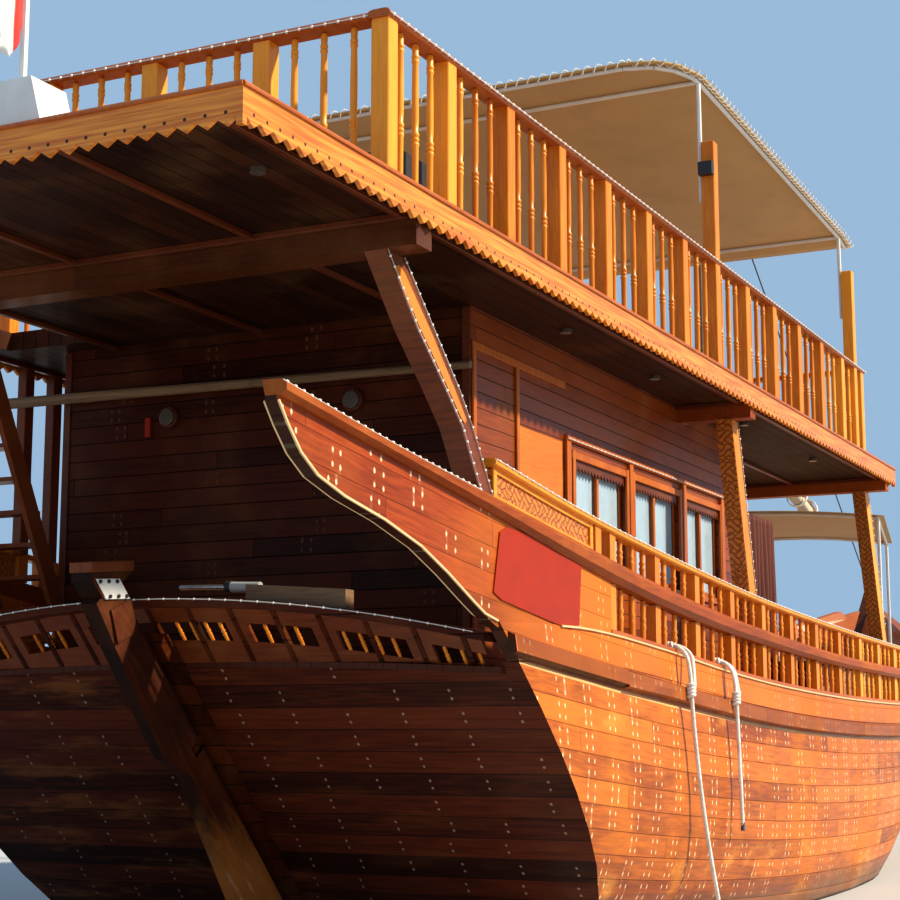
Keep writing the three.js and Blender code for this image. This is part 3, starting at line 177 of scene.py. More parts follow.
def in_edit_mode(piece, *steps):
    """Runs steps on the whole of a piece in edit mode."""
    pick(piece)
    bpy.ops.object.mode_set(mode="EDIT")
    for step in steps:
        bpy.ops.mesh.select_all(action="SELECT")
        step()
    bpy.ops.object.mode_set(mode="OBJECT")
    return piece


def faces_out(piece):
    return in_edit_mode(piece, lambda: bpy.ops.mesh.normals_make_consistent(inside=False))


def lofted(name, rings, smooth=False):
    """A closed skin over rings with as many points each."""
    count, last = len(rings[0]), len(rings) - 1
    faces = [(i * count + k, (i + 1) * count + k, (i + 1) * count + (k + 1) % count,
              i * count + (k + 1) % count) for i in range(last) for k in range(count)]
    faces += [tuple(range(count)), tuple(last * count + k for k in range(count))[::-1]]
    return faces_out(new_mesh(name, [point for ring in rings for point in ring], faces, smooth))


def laid_rope(name, line, radius, lay=0.16):
    """A rope of three strands that twist round each other once in `lay` metres."""
    sides, run, rings = 15, 0.0, []
    side = Vector((1, 0, 0))
    for i, point in enumerate(line):
        along = (line[min(i + 1, len(line) - 1)] - line[max(i - 1, 0)]).normalized()
        side = (side - along * side.dot(along)).normalized()
        across = along.cross(side)
        run += (point - line[i - 1]).length if i else 0
        ring = []
        for k in range(sides):
            angle = 2 * math.pi * k / sides
            reach = radius * (0.9 + 0.1 * abs(math.cos(1.5 * (angle - 2 * math.pi * run / lay))))
            ring.append(point + reach * (math.cos(angle) * side + math.sin(angle) * across))
        rings.append(ring)
    return lofted(name, rings, True)


def lashing(name, centre, axis, ring, radius, turns):
    """Turns of the same rope laid side by side round a short part of it."""
    axis = Vector(axis).normalized()
    first = axis.orthogonal().normalized()
    second = axis.cross(first)
    line = []
    for k in range(turns * 16 + 1):
        angle = 2 * math.pi * k / 16
        along = axis * ((k / 16 - turns / 2) * radius * 1.9)
        line.append(Vector(centre) + along + ring * (math.cos(angle) * first + math.sin(angle) * second))
    return laid_rope(name, line, radius)


def put_on(piece, finish, body="boat"):
    piece.data.materials.clear()
    piece.data.materials.append(finish)
    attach(piece, body)
    return piece


def cylinder(sides, radius, depth, location=(0, 0, 0), rotation=(0, 0, 0)):
    bpy.ops.object.select_all(action="DESELECT")
    bpy.ops.mesh.primitive_cylinder_add(vertices=sides, radius=radius, depth=depth, location=location,
                                        rotation=rotation)
    bpy.ops.object.transform_apply(location=True, rotation=True, scale=True)
    return bpy.context.object


def eased(piece, width, steps=1):
    """Takes the sharpness off every edge of a piece."""
    return in_edit_mode(piece, lambda: bpy.ops.mesh.bevel(offset=width, segments=steps)) if width else piece


def tip_binding(turn=0.004):
    """Thin dark cord wound round a rope's end."""
    finish = Finish("rope_tip_binding")
    turns = abs((finish.place()[2] / turn) % 1 - 0.5) * 2
    colour = finish.mix(turns, (0.03, 0.045, 0.09, 1), (0.1, 0.13, 0.2, 1))
    return finish.wear(colour, 0.4 + turns * 0.2, turns, 0.001)


white_fibre = rope_fibre("rope_white", (0.86, 0.83, 0.78, 1), (0.52, 0.47, 0.4, 1))


def fibre(piece, body="boat"):
    return put_on(piece, white_fibre, body)


rope_radius = 0.017
rope_long_route = [
    (-5.680, -2.575, 2.3072), (-5.680, -2.615, 2.3072), (-5.680, -2.655, 2.304), (-5.680, -2.695, 2.286),
    (-5.679, -2.730, 2.256), (-5.677, -2.755, 2.214), (-5.675, -2.768, 2.155), (-5.670, -2.776, 2.068),
    (-5.660, -2.779, 1.960), (-5.645, -2.781, 1.820), (-5.620, -2.784, 1.660), (-5.590, -2.788, 1.490),
    (-5.555, -2.793, 1.310), (-5.515, -2.799, 1.130), (-5.470, -2.806, 0.950), (-5.420, -2.814, 0.770),
    (-5.365, -2.823, 0.590), (-5.305, -2.833, 0.410), (-5.255, -2.842, 0.260),
]
rope_short_route = [
    (-4.560, -2.592, 2.224), (-4.560, -2.632, 2.224), (-4.560, -2.672, 2.220), (-4.560, -2.712, 2.202),
    (-4.559, -2.746, 2.171), (-4.557, -2.769, 2.128), (-4.553, -2.781, 2.070), (-4.547, -2.787, 2.000),
    (-4.540, -2.790, 1.920), (-4.532, -2.791, 1.820), (-4.524, -2.792, 1.700), (-4.516, -2.793, 1.570),
    (-4.508, -2.794, 1.440), (-4.500, -2.795, 1.310), (-4.492, -2.796, 1.180), (-4.485, -2.797, 1.050),
    (-4.479, -2.798, 0.930), (-4.475, -2.799, 0.850),
]
# The bight comes back over the edge and joins the hanging part in a hitch. Each of its places is a point of
# the route, the share of the bight's reach that it has, and how far it is moved.
bight_shape = ((1, 1, 0, 0, 0.002), (2, 1, 0, 0, 0), (3, 1, 0, 0, 0), (4, 1, 0, -0.002, 0),
               (5, 0.95, 0, -0.004, 0), (6, 0.75, 0, -0.006, 0), (7, 0.4, 0.01, -0.012, 0),
               (8, 0, 0.022, -0.02, 0.03))
for name, route, steps, reach, length, far_end in (("long", rope_long_route, 14, 0.115, 2.26, "knot"),
                                                   ("short", rope_short_route, 11, 0.045, 1.56, "bare")):
    line = smooth_route(route, steps)
    rope = fibre(laid_rope(f"mooring_rope_{name}", line, rope_radius))
    bight_route = [Vector(route[k]) + Vector((reach * share + x, y, z)) for k, share, x, y, z in bight_shape]
    ends = [fibre(lashing(f"rope_{name}_knot", route[1], (0, 1, 0), 0.02, 0.0135, 3)),
            fibre(laid_rope(f"rope_{name}_bight", smooth_route(bight_route, 8), rope_radius * 0.95)),
            fibre(lashing(f"rope_{name}_hitch", route[8], (0.05, 0, 1), 0.026, 0.0145, 4))]
    if far_end == "knot":
        stopper = Vector(route[-1]) + Vector((-0.006, 0, 0.02))
        ends.append(fibre(lashing("rope_long_stopper", stopper, (0.3, -0.05, -1), 0.019, 0.0145, 3)))
    else:
        tip = cylinder(16, 0.0185, 0.07, Vector(route[-1]) + Vector((0, 0, 0.02)))
        tip.name = "rope_short_tip"
        ends.append(put_on(eased(tip, 0.005, 2), tip_binding()))
    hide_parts(f"rope_{name}")
    [tuple(p) for p in line]

# The hull is planked with varnished boards that follow the sheer, fastened by pairs of plugged nails in each
# frame. The plugs are pale with old varnish and lime. The raked transom is planked across it and darker,
# partly its own wood and partly painted shade.
def wood(name, dark, light, run, board=0.18, length=3.6, seam=0.75, gloss=0.3, plugs=None, wear=0.3,
         shade=None, **fixed):
    """Varnished timber. run turns a place into (along the grain, across it, the third way), or is "sheer"
    where the boards follow the wale. board is how wide the boards are, and plugs is (spacing of the frames,
    half the gap of a pair, colour, how many stay). shade adds darker places of its own."""
    finish = Finish(name, **{"Coat_Weight": 0.15, "Coat_Roughness": 0.2, "Specular_IOR_Level": 0.25, **fixed})
    x, y, z = finish.place()
    along, across, third = (x, wale_depth(finish, x, z), y) if run == "sheer" else run(x, y, z)
    row = math.floor(across / board)
    within = across / board - row
    piece = math.floor(along / length + row * 0.381)
    tone = finish.chance(row, piece)
    wave = finish.noise(finish.vector(along * 0.8, across * 3.1 + tone * 9, third * 3.1), 1, 2)
    grain = finish.noise(finish.vector(along * 3.0, across * 46 + wave * 5, third * 46 + tone * 9), 1, 4,
                         0.62)
    pores = finish.grain((along, across, third), (22, 240, 240), 2)
    worn = finish.step(finish.noise(finish.vector(x, y, z), 1.3, 5, 0.6), 0.45, 0.75)
    light_share = finish.step(tone * 0.30 + wave * 0.25 + grain * 0.5 + pores * 0.12, 0.28, 0.82)
    colour = finish.mix(light_share, (*dark, 1), (*light, 1))
    faded = [min(1, 0.7 * c + 0.3 * g) for c, g in zip(light, (0.60, 0.30, 0.10))]
    colour = finish.mix(worn * wear, colour, (*faded, 1))
    edge = (0.5 - abs(within - 0.5)) * board
    end = abs(((along / length + row * 0.381) % 1) - 0.5)
    open_seam = 1 - finish.step(edge, 0.0015, 0.0055) * finish.step((0.5 - end) * length, 0.001, 0.004)
    colour = finish.mix(open_seam * seam, colour, (*[c * 0.18 for c in dark], 1))
    rough = gloss + worn * 0.25 + grain * 0.12 + open_seam * 0.3
    height = grain * 0.12 + wave * 0.15 - open_seam * 0.8
    if plugs:
        spacing, half_gap, pale, kept = plugs
        frame_place = along / spacing + finish.chance(row, 3.0) * 0.16
        bay = math.floor(frame_place)
        from_frame = abs((frame_place - bay - 0.5) * spacing)
        up = (abs(within - 0.5) - 0.24) * board
        sideways = from_frame - half_gap - (finish.chance(bay, row) - 0.5) * 0.02
        blot = finish.grain((along, across, third), (60, 60, 60), 2)
        from_centre = (sideways * sideways + up * up * 0.45) ** 0.5
        round_plug = finish.step(from_centre + (blot - 0.5) * 0.008, 0.014, 0.007)
        streak = finish.step(abs(sideways), 0.022, 0.003) * finish.step(
            finish.grain((along, across, third), (14, 7, 14), 4), 0.5, 0.72)
        seen = finish.chance(bay + 31, row) < kept
        colour = finish.mix(finish.clamp((round_plug * 0.85 + streak * 0.4) * seen), colour, (*pale, 1))
        rough = rough + round_plug * seen * 0.3
        height = height - round_plug * seen * 0.35
    if shade:
        colour, rough = shade(finish, colour, rough, (x, y, z))
    return finish.wear(colour, rough, height, 0.006)


def solid_wood(name, dark, light, run, **more):
    """Wood in one piece, too small for boards or seams to show."""
    return wood(name, dark, light, run, board=9, length=90, seam=0, **more)


def wale_depth(finish, x, z):
    """Depth below the wale's line, which the planks follow; it rises faster towards the bow."""
    rise = (x - 3) * finish.step(x, 3.0, 3.001)
    return 1.757 - x * 0.0124 + x * x * 0.00515 + rise * rise * 0.0116 - z


def wale_paint(finish, colour, place, depth):
    """The wale is darker than the planks, and a pale worn line runs below it."""
    x, y, z = place
    smear = finish.grain((x, y, z), (2.5, 2.5, 12), 4)
    wale = finish.step(depth, -0.004, 0.002) * finish.step(depth, 0.162, 0.156)
    colour = finish.mix(wale * (0.9 - smear * 0.5), colour, (0.16, 0.040, 0.010, 1))
    line = finish.step(depth, 0.158, 0.164) * finish.step(depth, 0.186, 0.178)
    return finish.mix(line * (0.35 + smear * 0.6), colour, (0.85, 0.56, 0.26, 1))


def hull_shade(finish, colour, rough, place):
    """The transom is planked across and darker, partly painted shade; the skin is stained near the water and
    tarred below.
    """
    x, y, z = place
    facing = finish.place("Normal")[0]
    stern = finish.step(facing, -0.45, -0.6)
    row = math.floor(z / 0.15)
    tone = finish.chance(row, 5.0)
    grain = finish.grain((x, y, z), (3, 3, 55), 4)
    # The faces turned aft take these dark boards: partly their own darker wood, partly painted shade.
    boards = finish.mix(finish.step(tone * 0.5 + grain * 0.6, 0.3, 0.85), (0.032, 0.006, 0.002, 1),
                        (0.130, 0.024, 0.007, 1))
    seam = finish.step((0.5 - abs(z / 0.15 - row - 0.5)) * 0.15, 0.006, 0.001)
    boards = finish.mix(seam * 0.8, boards, (0.008, 0.003, 0.002, 1))
    # Golden patches on the transom, stronger towards port and low down.
    patch_noise = finish.noise(finish.vector(y * 1.1 + z * 0.9, z * 7, x), 1, 5, 0.65)
    port = finish.step(y + (1.6 - z) * 0.6, -0.3, 0.9)
    golden_patches = finish.step(patch_noise, 0.48, 0.70) * (0.12 + port * 0.45)
    boards = finish.mix(golden_patches, boards, (0.30, 0.105, 0.026, 1))
    slant = y / 0.43 + z * 0.16 + finish.chance(row, 8.0) * 0.12
    column = math.floor(slant)
    away = (slant - column - 0.5) * 0.43 + (finish.chance(column, row) - 0.5) * 0.05
    pair = abs((z / 0.15 - row - 0.5) * 0.15) - 0.026
    blot = finish.grain((x, y, z), (50, 50, 50), 2)
    nail = (away * away + pair * pair) ** 0.5 + (blot - 0.5) * 0.014
    kept = finish.chance(column + 17, row) < 0.8
    boards = finish.mix(finish.step(nail, 0.013, 0.005) * kept * 0.75, boards, (0.40, 0.29, 0.21, 1))
    colour = finish.mix(stern, colour, boards)
    cloud = finish.grain((x, y, z), (0.7, 0.7, 3), 5)
    colour = wale_paint(finish, colour, place, wale_depth(finish, x, z) + stern * 9)
    knots = finish.step(finish.grain((x, y, z), (1.1, 1.1, 2.6), 5, 0.65), 0.56, 0.74)
    colour = finish.mix(knots * (1 - stern) * 0.45, colour, (0.88, 0.42, 0.08, 1))
    dark = finish.step(finish.noise(finish.vector(x * 0.8 + 7, y * 0.8, z * 3.4), 1, 5, 0.65), 0.54, 0.72)
    colour = finish.mix(dark * (1 - stern) * 0.5, colour, (0.11, 0.020, 0.004, 1))
    stain = finish.step(z + cloud * 0.35, 0.55, 0.22) * 0.75
    colour = finish.mix(stain, colour, (0.13, 0.075, 0.045, 1))
    tar = finish.step(z + cloud * 0.06, 0.07, 0.03)
    return finish.mix(tar, colour, (0.02, 0.018, 0.016, 1)), rough + tar * 0.3 + stern * 0.3


hull_plugs = (0.43, 0.055, (0.83, 0.60, 0.36), 0.78)
varnished_hull = wood("hull_varnish", (0.17, 0.026, 0.003), (0.66, 0.180, 0.014),
                      "sheer", board=0.165, seam=0.4, plugs=hull_plugs, wear=0.5,
                      shade=hull_shade, Coat_Weight=0.10, Specular_IOR_Level=0.18)


def dress(names, finish):
    for name in names:
        nodes[name].data.materials.clear()
        nodes[name].data.materials.append(finish)


def plain(name, colour, rough=0.5, **fixed):
    finish = Finish(name, **fixed)
    x, y, z = finish.place()
    cloud = finish.noise(finish.vector(x, y, z), 6, 4)
    fine = finish.noise(finish.vector(x, y, z), 90, 3)
    shade = finish.mix(cloud, (*[c * 0.8 for c in colour], 1), (*[min(1, c * 1.12) for c in colour], 1))
    return finish.wear(shade, rough - 0.1 + 0.2 * cloud, fine, 0.0006)


lengthwise = lambda x, y, z: (x, z, y)
upright = lambda x, y, z: (z, x, y)
across_boat = lambda x, y, z: (y, z, x)
flatwise = lambda x, y, z: (x, y, z)
dress(["hull"], varnished_hull)


def wing_shade(finish, colour, rough, place):
    """The wings' aft edges and inboard faces are painted near black: painted shade on faces turned aft or
    down.
    """
    x, y, z = place
    facing, _, up = finish.place("Normal")
    # Faces turned aft or down are painted near black: painted shade.
    edge = finish.clamp(finish.step(facing, -0.25, -0.5) + finish.step(up, -0.35, -0.6))
    blotch = finish.grain((x, y, z), (0.9, 0.9, 3), 5)
    glow = finish.step(x + blotch, -9.4, -7.2) * (0.35 + blotch * 0.6)
    colour = finish.mix(glow, colour, (0.70, 0.21, 0.016, 1))
    colour = wale_paint(finish, colour, place, wale_depth(finish, x, z) + finish.step(x, -8.72, -8.76) * 9)
    return finish.mix(edge * 0.9, colour, (0.018, 0.006, 0.003, 1)), rough


dress(["sheer_board_stbd", "sheer_board_port"],
      wood("wing_varnish", (0.115, 0.014, 0.003), (0.42, 0.075, 0.010), "sheer", board=0.165, seam=0.2,
           plugs=(0.46, 0.050, (0.83, 0.62, 0.42), 0.62), wear=0.25, shade=wing_shade, Coat_Weight=0.10,
           Specular_IOR_Level=0.18))
rail_varnish = solid_wood("rail_varnish", (0.56, 0.15, 0.009), (0.90, 0.37, 0.042), lengthwise)
post_varnish = solid_wood("post_varnish", (0.56, 0.15, 0.009), (0.90, 0.37, 0.042), upright)
# A darker copy of the house planks: painted shade on the aft wall and taffrail, which stand in the stern's
# shade.
dark_planks = wood("house_planks_dark", (0.020, 0.004, 0.001), (0.095, 0.018, 0.005), across_boat, board=0.14,
                   plugs=(0.9, 0.04, (0.14, 0.06, 0.03), 0.5), Coat_Weight=0.04, Specular_IOR_Level=0.12)
# A darker copy of the timber: painted shade for the struts, stair, taffrail boards and port posts that stand
# in shade.
stern_timber = solid_wood("stern_timber", (0.060, 0.012, 0.004), (0.22, 0.055, 0.016), across_boat)
red_wood = solid_wood("red_timber", (0.13, 0.022, 0.004), (0.40, 0.095, 0.017), lengthwise,
                wear=0.5, Coat_Weight=0.06, Specular_IOR_Level=0.12)
# The house side planks are darkened: painted shade, where the sun deck shades the walls.
house_side = wood("house_side_planks", (0.085, 0.014, 0.003), (0.31, 0.068, 0.009), lengthwise, board=0.12)


def deck_sides_painted_shade(finish, colour, rough, place):
    """The deck's edges, its aft end and every face but the upper one are painted dark: painted shade."""
    side = 1 - finish.step(finish.place("Normal")[2], 0.35, 0.6)
    return finish.mix(side, colour, (0.085, 0.020, 0.006, 1)), rough


# The deck's sides and the lid's underside are painted dark as painted shade.
deck_wood = wood("deck_planks", (0.25, 0.14, 0.07), (0.5, 0.33, 0.18), flatwise, board=0.11, gloss=0.6,
                 shade=deck_sides_painted_shade)


def deck_shade(finish, colour, rough, place):
    """The sun deck's upper face is scrubbed and pale; the near-black underside is painted shade."""
    top = finish.step(finish.place("Normal")[2], 0.4, 0.6)
    cloud = finish.noise(finish.vector(*place), 2, 4)
    pale = finish.mix(cloud, (0.26, 0.13, 0.055, 1), (0.46, 0.27, 0.13, 1))
    return finish.mix(top * 0.85, colour, pale), rough + top * 0.3


# The sun deck's planks are near black: painted shade on the underside, which stands in the deck's shade.
under_wood = wood("sun_deck_planks", (0.014, 0.0035, 0.0015), (0.060, 0.016, 0.005), flatwise, board=0.13,
                  gloss=0.5, shade=deck_shade, Coat_Weight=0.05, Specular_IOR_Level=0.15)
grey_wood = solid_wood("weathered_wood", (0.10, 0.055, 0.030), (0.30, 0.19, 0.11), across_boat, gloss=0.7)
dress(["heavy_rail_stbd", "heavy_rail_port", "house_door_stbd", "house_door_port", "beam_mid", "beam_fore"],
      red_wood)
# The struts and stair take the darker timber as painted shade.
dress(["stern_strut_stbd", "stern_strut_port", "stair"], stern_timber)
# The aft beam takes a darker copy of the timber: painted shade under the sun deck.
dress(["beam_aft"], solid_wood("beam_timber", (0.030, 0.007, 0.002), (0.125, 0.033, 0.008), across_boat))
dress(["house_wall_stbd", "house_wall_port", "house_wall_fore"], house_side)
# The aft wall and taffrail take the darker planks as painted shade.
dress(["house_wall_aft", "taffrail", "keel_stem_sternpost"], dark_planks)
dress(["main_deck", "hatch_lid"], deck_wood)
dress(["sun_deck"], under_wood)
dress(["cross_pole", "steering_ram", "mast", "yard", "mooring_bitts"], grey_wood)
white_steel = plain("white_steel", (0.75, 0.74, 0.72), 0.35)
dark_metal = plain("dark_metal", (0.03, 0.03, 0.035))
dress(["canopy_frame", "awning_frame", "flag_stand"], white_steel)
# The glass's pale blue colour is a painted reflection of the sky.
dress(["window_glass_stbd", "window_glass_port"],
      plain("window_glass", (0.40, 0.52, 0.60), 0.12, Coat_Weight=0.6))
dress(["deck_chest", "floodlight", "forestay", "helm_console", "helm_wheel"], dark_metal)
dress(["propeller"], plain("bronze", (0.5, 0.32, 0.12), 0.35, Metallic=1.0))

# The sun deck is fenced on four sides: square posts, three slim turned balusters in each bay and a red-brown
# moulded cap, with a string of small white lamps clipped along the cap's outer edge.
def board(name, x, y, z, bevel=0.004):
    """A sawn board between three pairs of places, with its edges eased."""
    bpy.ops.object.select_all(action="DESELECT")
    middle = [(low + high) / 2 for low, high in (x, y, z)]
    bpy.ops.mesh.primitive_cube_add(size=1, location=middle)
    piece = bpy.context.object
    piece.name = name
    piece.scale = [abs(high - low) for low, high in (x, y, z)]
    bpy.ops.object.transform_apply(location=True, rotation=True, scale=True)
    return eased(piece, bevel)


def turned(name, rows, sides=10):
    """A turned piece: rows of (height, radius) spun round the upright axis."""
    piece = new_mesh(name, [], [])
    piece.data.from_pydata([(radius, 0, height) for height, radius in rows],
                           [(i, i + 1) for i in range(len(rows) - 1)], [])
    in_edit_mode(piece,
                 lambda: bpy.ops.mesh.spin(steps=sides, angle=2 * math.pi, center=(0, 0, 0), axis=(0, 0, 1)),
                 lambda: bpy.ops.mesh.remove_doubles(threshold=0.0002))
    faces_out(piece)
    bpy.ops.object.shade_smooth_by_angle(angle=math.radians(40))
    return piece


def joined(name, pieces):
    pick(pieces[0])
    for piece in pieces:
        piece.select_set(True)
    if len(pieces) > 1:
        bpy.ops.object.join()
    pieces[0].name = name
    return pieces[0]


def repeat(name, piece, places):
    """One mesh with the piece repeated at each place, which is a point or a matrix."""
    copies = []
    for place in places:
        copy = bpy.data.objects.new(name, piece.data.copy())
        copy.data.transform(place if isinstance(place, Matrix) else Matrix.Translation(place))
        bpy.context.scene.collection.objects.link(copy)
        copies.append(copy)
    bpy.data.objects.remove(piece, do_unlink=True)
    return joined(name, copies)


def moulding(name, line, section, smooth=True):
    """A moulding along a line; its section is (outboard, up) pairs. Outboard is to the right of the line."""
    rings = []
    for i, point in enumerate(line):
        along = Vector(line[min(i + 1, len(line) - 1)]) - Vector(line[max(i - 1, 0)])
        out = Vector((along.y, -along.x, 0)).normalized()
        rings.append([Vector(point) + out * a + Vector((0, 0, b)) for a, b in section])
    piece = lofted(name, rings)
    if smooth:
        bpy.ops.object.shade_smooth_by_angle(angle=math.radians(35))
    return piece


def round_section(radius, sides=6):
    return [(radius * math.cos(2 * math.pi * k / sides), radius * math.sin(2 * math.pi * k / sides))
            for k in range(sides)]


def spaced(line, gap):
    """Points at even distances along a line."""
    points, ahead = [], gap / 2
    for a, b in zip(line, line[1:]):
        a, b = Vector(a), Vector(b)
        length = (b - a).length
        while ahead < length:
            points.append(a.lerp(b, ahead / length))
            ahead += gap
        ahead -= length
    return points


lamp_glass = Finish("string_lamp", Base_Color=(0.86, 0.84, 0.80, 1), Roughness=0.3).material
lamp_cable = Finish("lamp_cable", Base_Color=(0.62, 0.60, 0.57, 1), Roughness=0.6).material


def lamp_string(name, line, gap=0.09, size=0.011):
    """A thin pale cable with small lamps along it, clipped to the edge that it follows."""
    put_on(moulding(name + "_cable", line, round_section(0.004, 5)), lamp_cable)
    bpy.ops.object.select_all(action="DESELECT")
    bpy.ops.mesh.primitive_ico_sphere_add(subdivisions=1, radius=size)
    lamps = repeat(name + "_lamps", bpy.context.object, spaced(line, gap))
    return put_on(lamps, lamp_glass)


deck_level, cap_low = 4.8503, 5.800
rail_y = 2.49
rail_posts = [-10.17] + [-9.38 + 0.9 * i for i in range(13)]
tall_posts = (-3.98, 1.12)
cap_section = [(-0.060, 0), (-0.074, 0.010), (-0.078, 0.026), (-0.064, 0.044), (-0.040, 0.050),
               (0.040, 0.050), (0.064, 0.044), (0.078, 0.026), (0.074, 0.010), (0.060, 0)]
cap_finish = solid_wood("rail_cap", (0.25, 0.045, 0.010), (0.52, 0.150, 0.035), lengthwise)
baluster_rows = [(0, 0.001), (0, 0.020), (0.290, 0.0215), (0.300, 0.0255), (0.312, 0.0255), (0.320, 0.0185),
                 (0.330, 0.0255), (0.342, 0.0255), (0.350, 0.0185), (0.360, 0.0255), (0.374, 0.0255),
                 (0.384, 0.0190), (0.450, 0.0225), (0.640, 0.0225), (0.820, 0.0195), (0.830, 0.0245),
                 (0.842, 0.0245), (0.850, 0.0185), (0.858, 0.0245), (0.870, 0.0245), (0.880, 0.0200),
                 (0.925, 0.0225), (0.945, 0.0160), (0.948, 0.001)]
across_y = rail_y - 0.0703
runs = {"stbd": [(-10.25, -rail_y), (1.50, -rail_y)], "port": [(1.50, rail_y), (-10.25, rail_y)],
        "aft": [(-10.17, across_y), (-10.17, -across_y)], "fore": [(1.42, -across_y), (1.42, across_y)]}
between_posts = [a + (b - a) * k / 4 for a, b in zip(rail_posts, rail_posts[1:]) for k in (1, 2, 3)]
post_half = (-0.06, 0.06)


def clear_of(place, others, gap):
    return min(abs(place - other) for other in others) > gap


for end, ((x0, y0), (x1, y1)) in runs.items():
    if end in ("stbd", "port"):
        posts = [(x, y0, deck_level) for x in rail_posts if clear_of(x, tall_posts, 0.1)]
        slim = [(x, y0, deck_level) for x in between_posts if clear_of(x, tall_posts, 0.1)]
    else:
        posts = [(x0, -rail_y + 2 * rail_y * k / 6, deck_level) for k in range(1, 6)]
        slim = [(x0, -rail_y + 2 * rail_y * k / 24, deck_level) for k in range(1, 24) if k % 4]
    post = board("post", post_half, post_half, (0, cap_low - deck_level + 0.02), 0.006)
    fence = put_on(repeat(f"sun_rail_posts_{end}", post, posts), post_varnish)
    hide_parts(f"sun_rail_{end}")
    balusters = repeat(f"sun_rail_balusters_{end}", turned("baluster", baluster_rows), slim)
    put_on(balusters, post_varnish)
    put_on(moulding(f"sun_rail_cap_{end}", [(x0, y0, cap_low), (x1, y1, cap_low)], cap_section), cap_finish)
    out = Vector((y1 - y0, x0 - x1, 0)).normalized() * 0.082
    string = [Vector((x0, y0, cap_low + 0.018)) + out, Vector((x1, y1, cap_low + 0.018)) + out]
    lamp_string(f"sun_rail_lights_{end}", string)
    if end in ("stbd", "port"):
        tall = board("tall_post", post_half, post_half, (0, 6.95 - deck_level), 0.006)
        put_on(repeat(f"tall_posts_{end}", tall, [(x, y0, deck_level) for x in tall_posts]), post_varnish)

# The sawtooth boards round the sun deck carry a thin red-brown strip along their top edge, and a small round
# hole is bored above each tooth. The holes are painted as dark discs, painted shade where no hole is cut.
def fascia_varnish(side_tooth=0.125431, end_tooth=0.12439, hole_level=4.698):
    """Warm streaked varnish; the holes are painted as dark discs, painted shade where no hole is cut."""
    finish = Finish("fascia_varnish", Coat_Weight=0.3)
    x, y, z = finish.place()
    side_face = abs(finish.place("Normal")[1]) > 0.5
    run = (x + 11.79) / side_tooth * side_face + (y + 2.55) / end_tooth * (1 - side_face)
    off, up = abs(run % 1 - 0.5) * 0.125, z - hole_level
    # A painted hole: a dark disc of painted shade above each tooth.
    bored = finish.step((off * off + up * up) ** 0.5, 0.011, 0.008)
    streaks = finish.grain((x, y, z), (2, 2, 60), 4)
    tone = finish.mix(finish.step(streaks, 0.3, 0.75), (0.52, 0.13, 0.008, 1), (0.86, 0.33, 0.035, 1))
    tone = finish.mix(bored, tone, (0.03, 0.01, 0.005, 1))
    return finish.wear(tone, 0.35 + bored * 0.4, streaks * 0.1 - bored, 0.008)


dress(["fascia"], fascia_varnish())
strip_section = [(-0.004, 0), (0.012, 0), (0.014, 0.012), (0.006, 0.026), (-0.004, 0.026)]
edge_x, edge_y = (-11.83, 2.80), 2.59
corners = [(edge_x[0], edge_y, 4.827), (edge_x[0], -edge_y, 4.827), (edge_x[1], -edge_y, 4.827),
           (edge_x[1], edge_y, 4.827), (edge_x[0], edge_y, 4.827)]
for i, (a, b) in enumerate(zip(corners, corners[1:])):
    put_on(moulding(f"fascia_strip_{i}", [a, b], strip_section), cap_finish)

# The sides above the hull: an open tier of balusters under the heavy rail and a lower hand rail tier above
# it. Both follow the sheer. A carved panel fills the hand rail's aft end.
side_rows = [  # place, half breadth, hull's top edge, heavy rail, its depth, hand rail
    (-11.6, 2.555, 2.250, 3.428, 0.085, 3.690), (-10.2, 2.580, 2.280, 3.235, 0.080, 3.510),
    (-8.85, 2.600, 2.310, 3.080, 0.110, 3.340), (-7.5, 2.632, 2.350, 2.915, 0.150, 3.165),
    (-6.0, 2.662, 2.272, 2.740, 0.150, 3.020), (-4.5, 2.685, 2.157, 2.610, 0.138, 2.903),
    (-3.0, 2.698, 2.075, 2.522, 0.125, 2.812), (-1.0, 2.700, 2.014, 2.437, 0.115, 2.736),
    (1.0, 2.690, 1.988, 2.400, 0.110, 2.682), (3.0, 2.620, 2.005, 2.402, 0.115, 2.668),
    (5.0, 2.400, 2.130, 2.510, 0.125, 2.770), (7.0, 1.960, 2.370, 2.740, 0.130, 3.000),
    (9.0, 1.270, 2.740, 3.100, 0.130, 3.350), (10.3, 0.700, 3.050, 3.400, 0.130, 3.650),
    (11.4, 0.110, 3.360, 3.700, 0.130, 3.950),
]


def side_line(k):
    """A smooth line through one column of the table."""
    xs, vs, last = [row[0] for row in side_rows], [row[k] for row in side_rows], len(side_rows) - 1
    slopes = [(vs[min(i + 1, last)] - vs[max(i - 1, 0)]) / (xs[min(i + 1, last)] - xs[max(i - 1, 0)])
              for i in range(last + 1)]

    def at(x):
        i = max(k for k in range(last) if k == 0 or xs[k] <= x)
        span = xs[i + 1] - xs[i]
        t = (x - xs[i]) / span
        return ((2 * t ** 3 - 3 * t ** 2 + 1) * vs[i] + (t ** 3 - 2 * t ** 2 + t) * span * slopes[i]
                + (3 * t ** 2 - 2 * t ** 3) * vs[i + 1] + (t ** 3 - t ** 2) * span * slopes[i + 1])
    return at


half, top_edge, heavy_rail, rail_depth, hand_rail = (side_line(k) for k in range(1, 6))
pitch = 20.18 / 22
tier_start, tier_end, hand_start, hand_end = -8.83 + 2 * pitch, -8.83 + 15 * pitch, -8.90, -8.83 + 14 * pitch


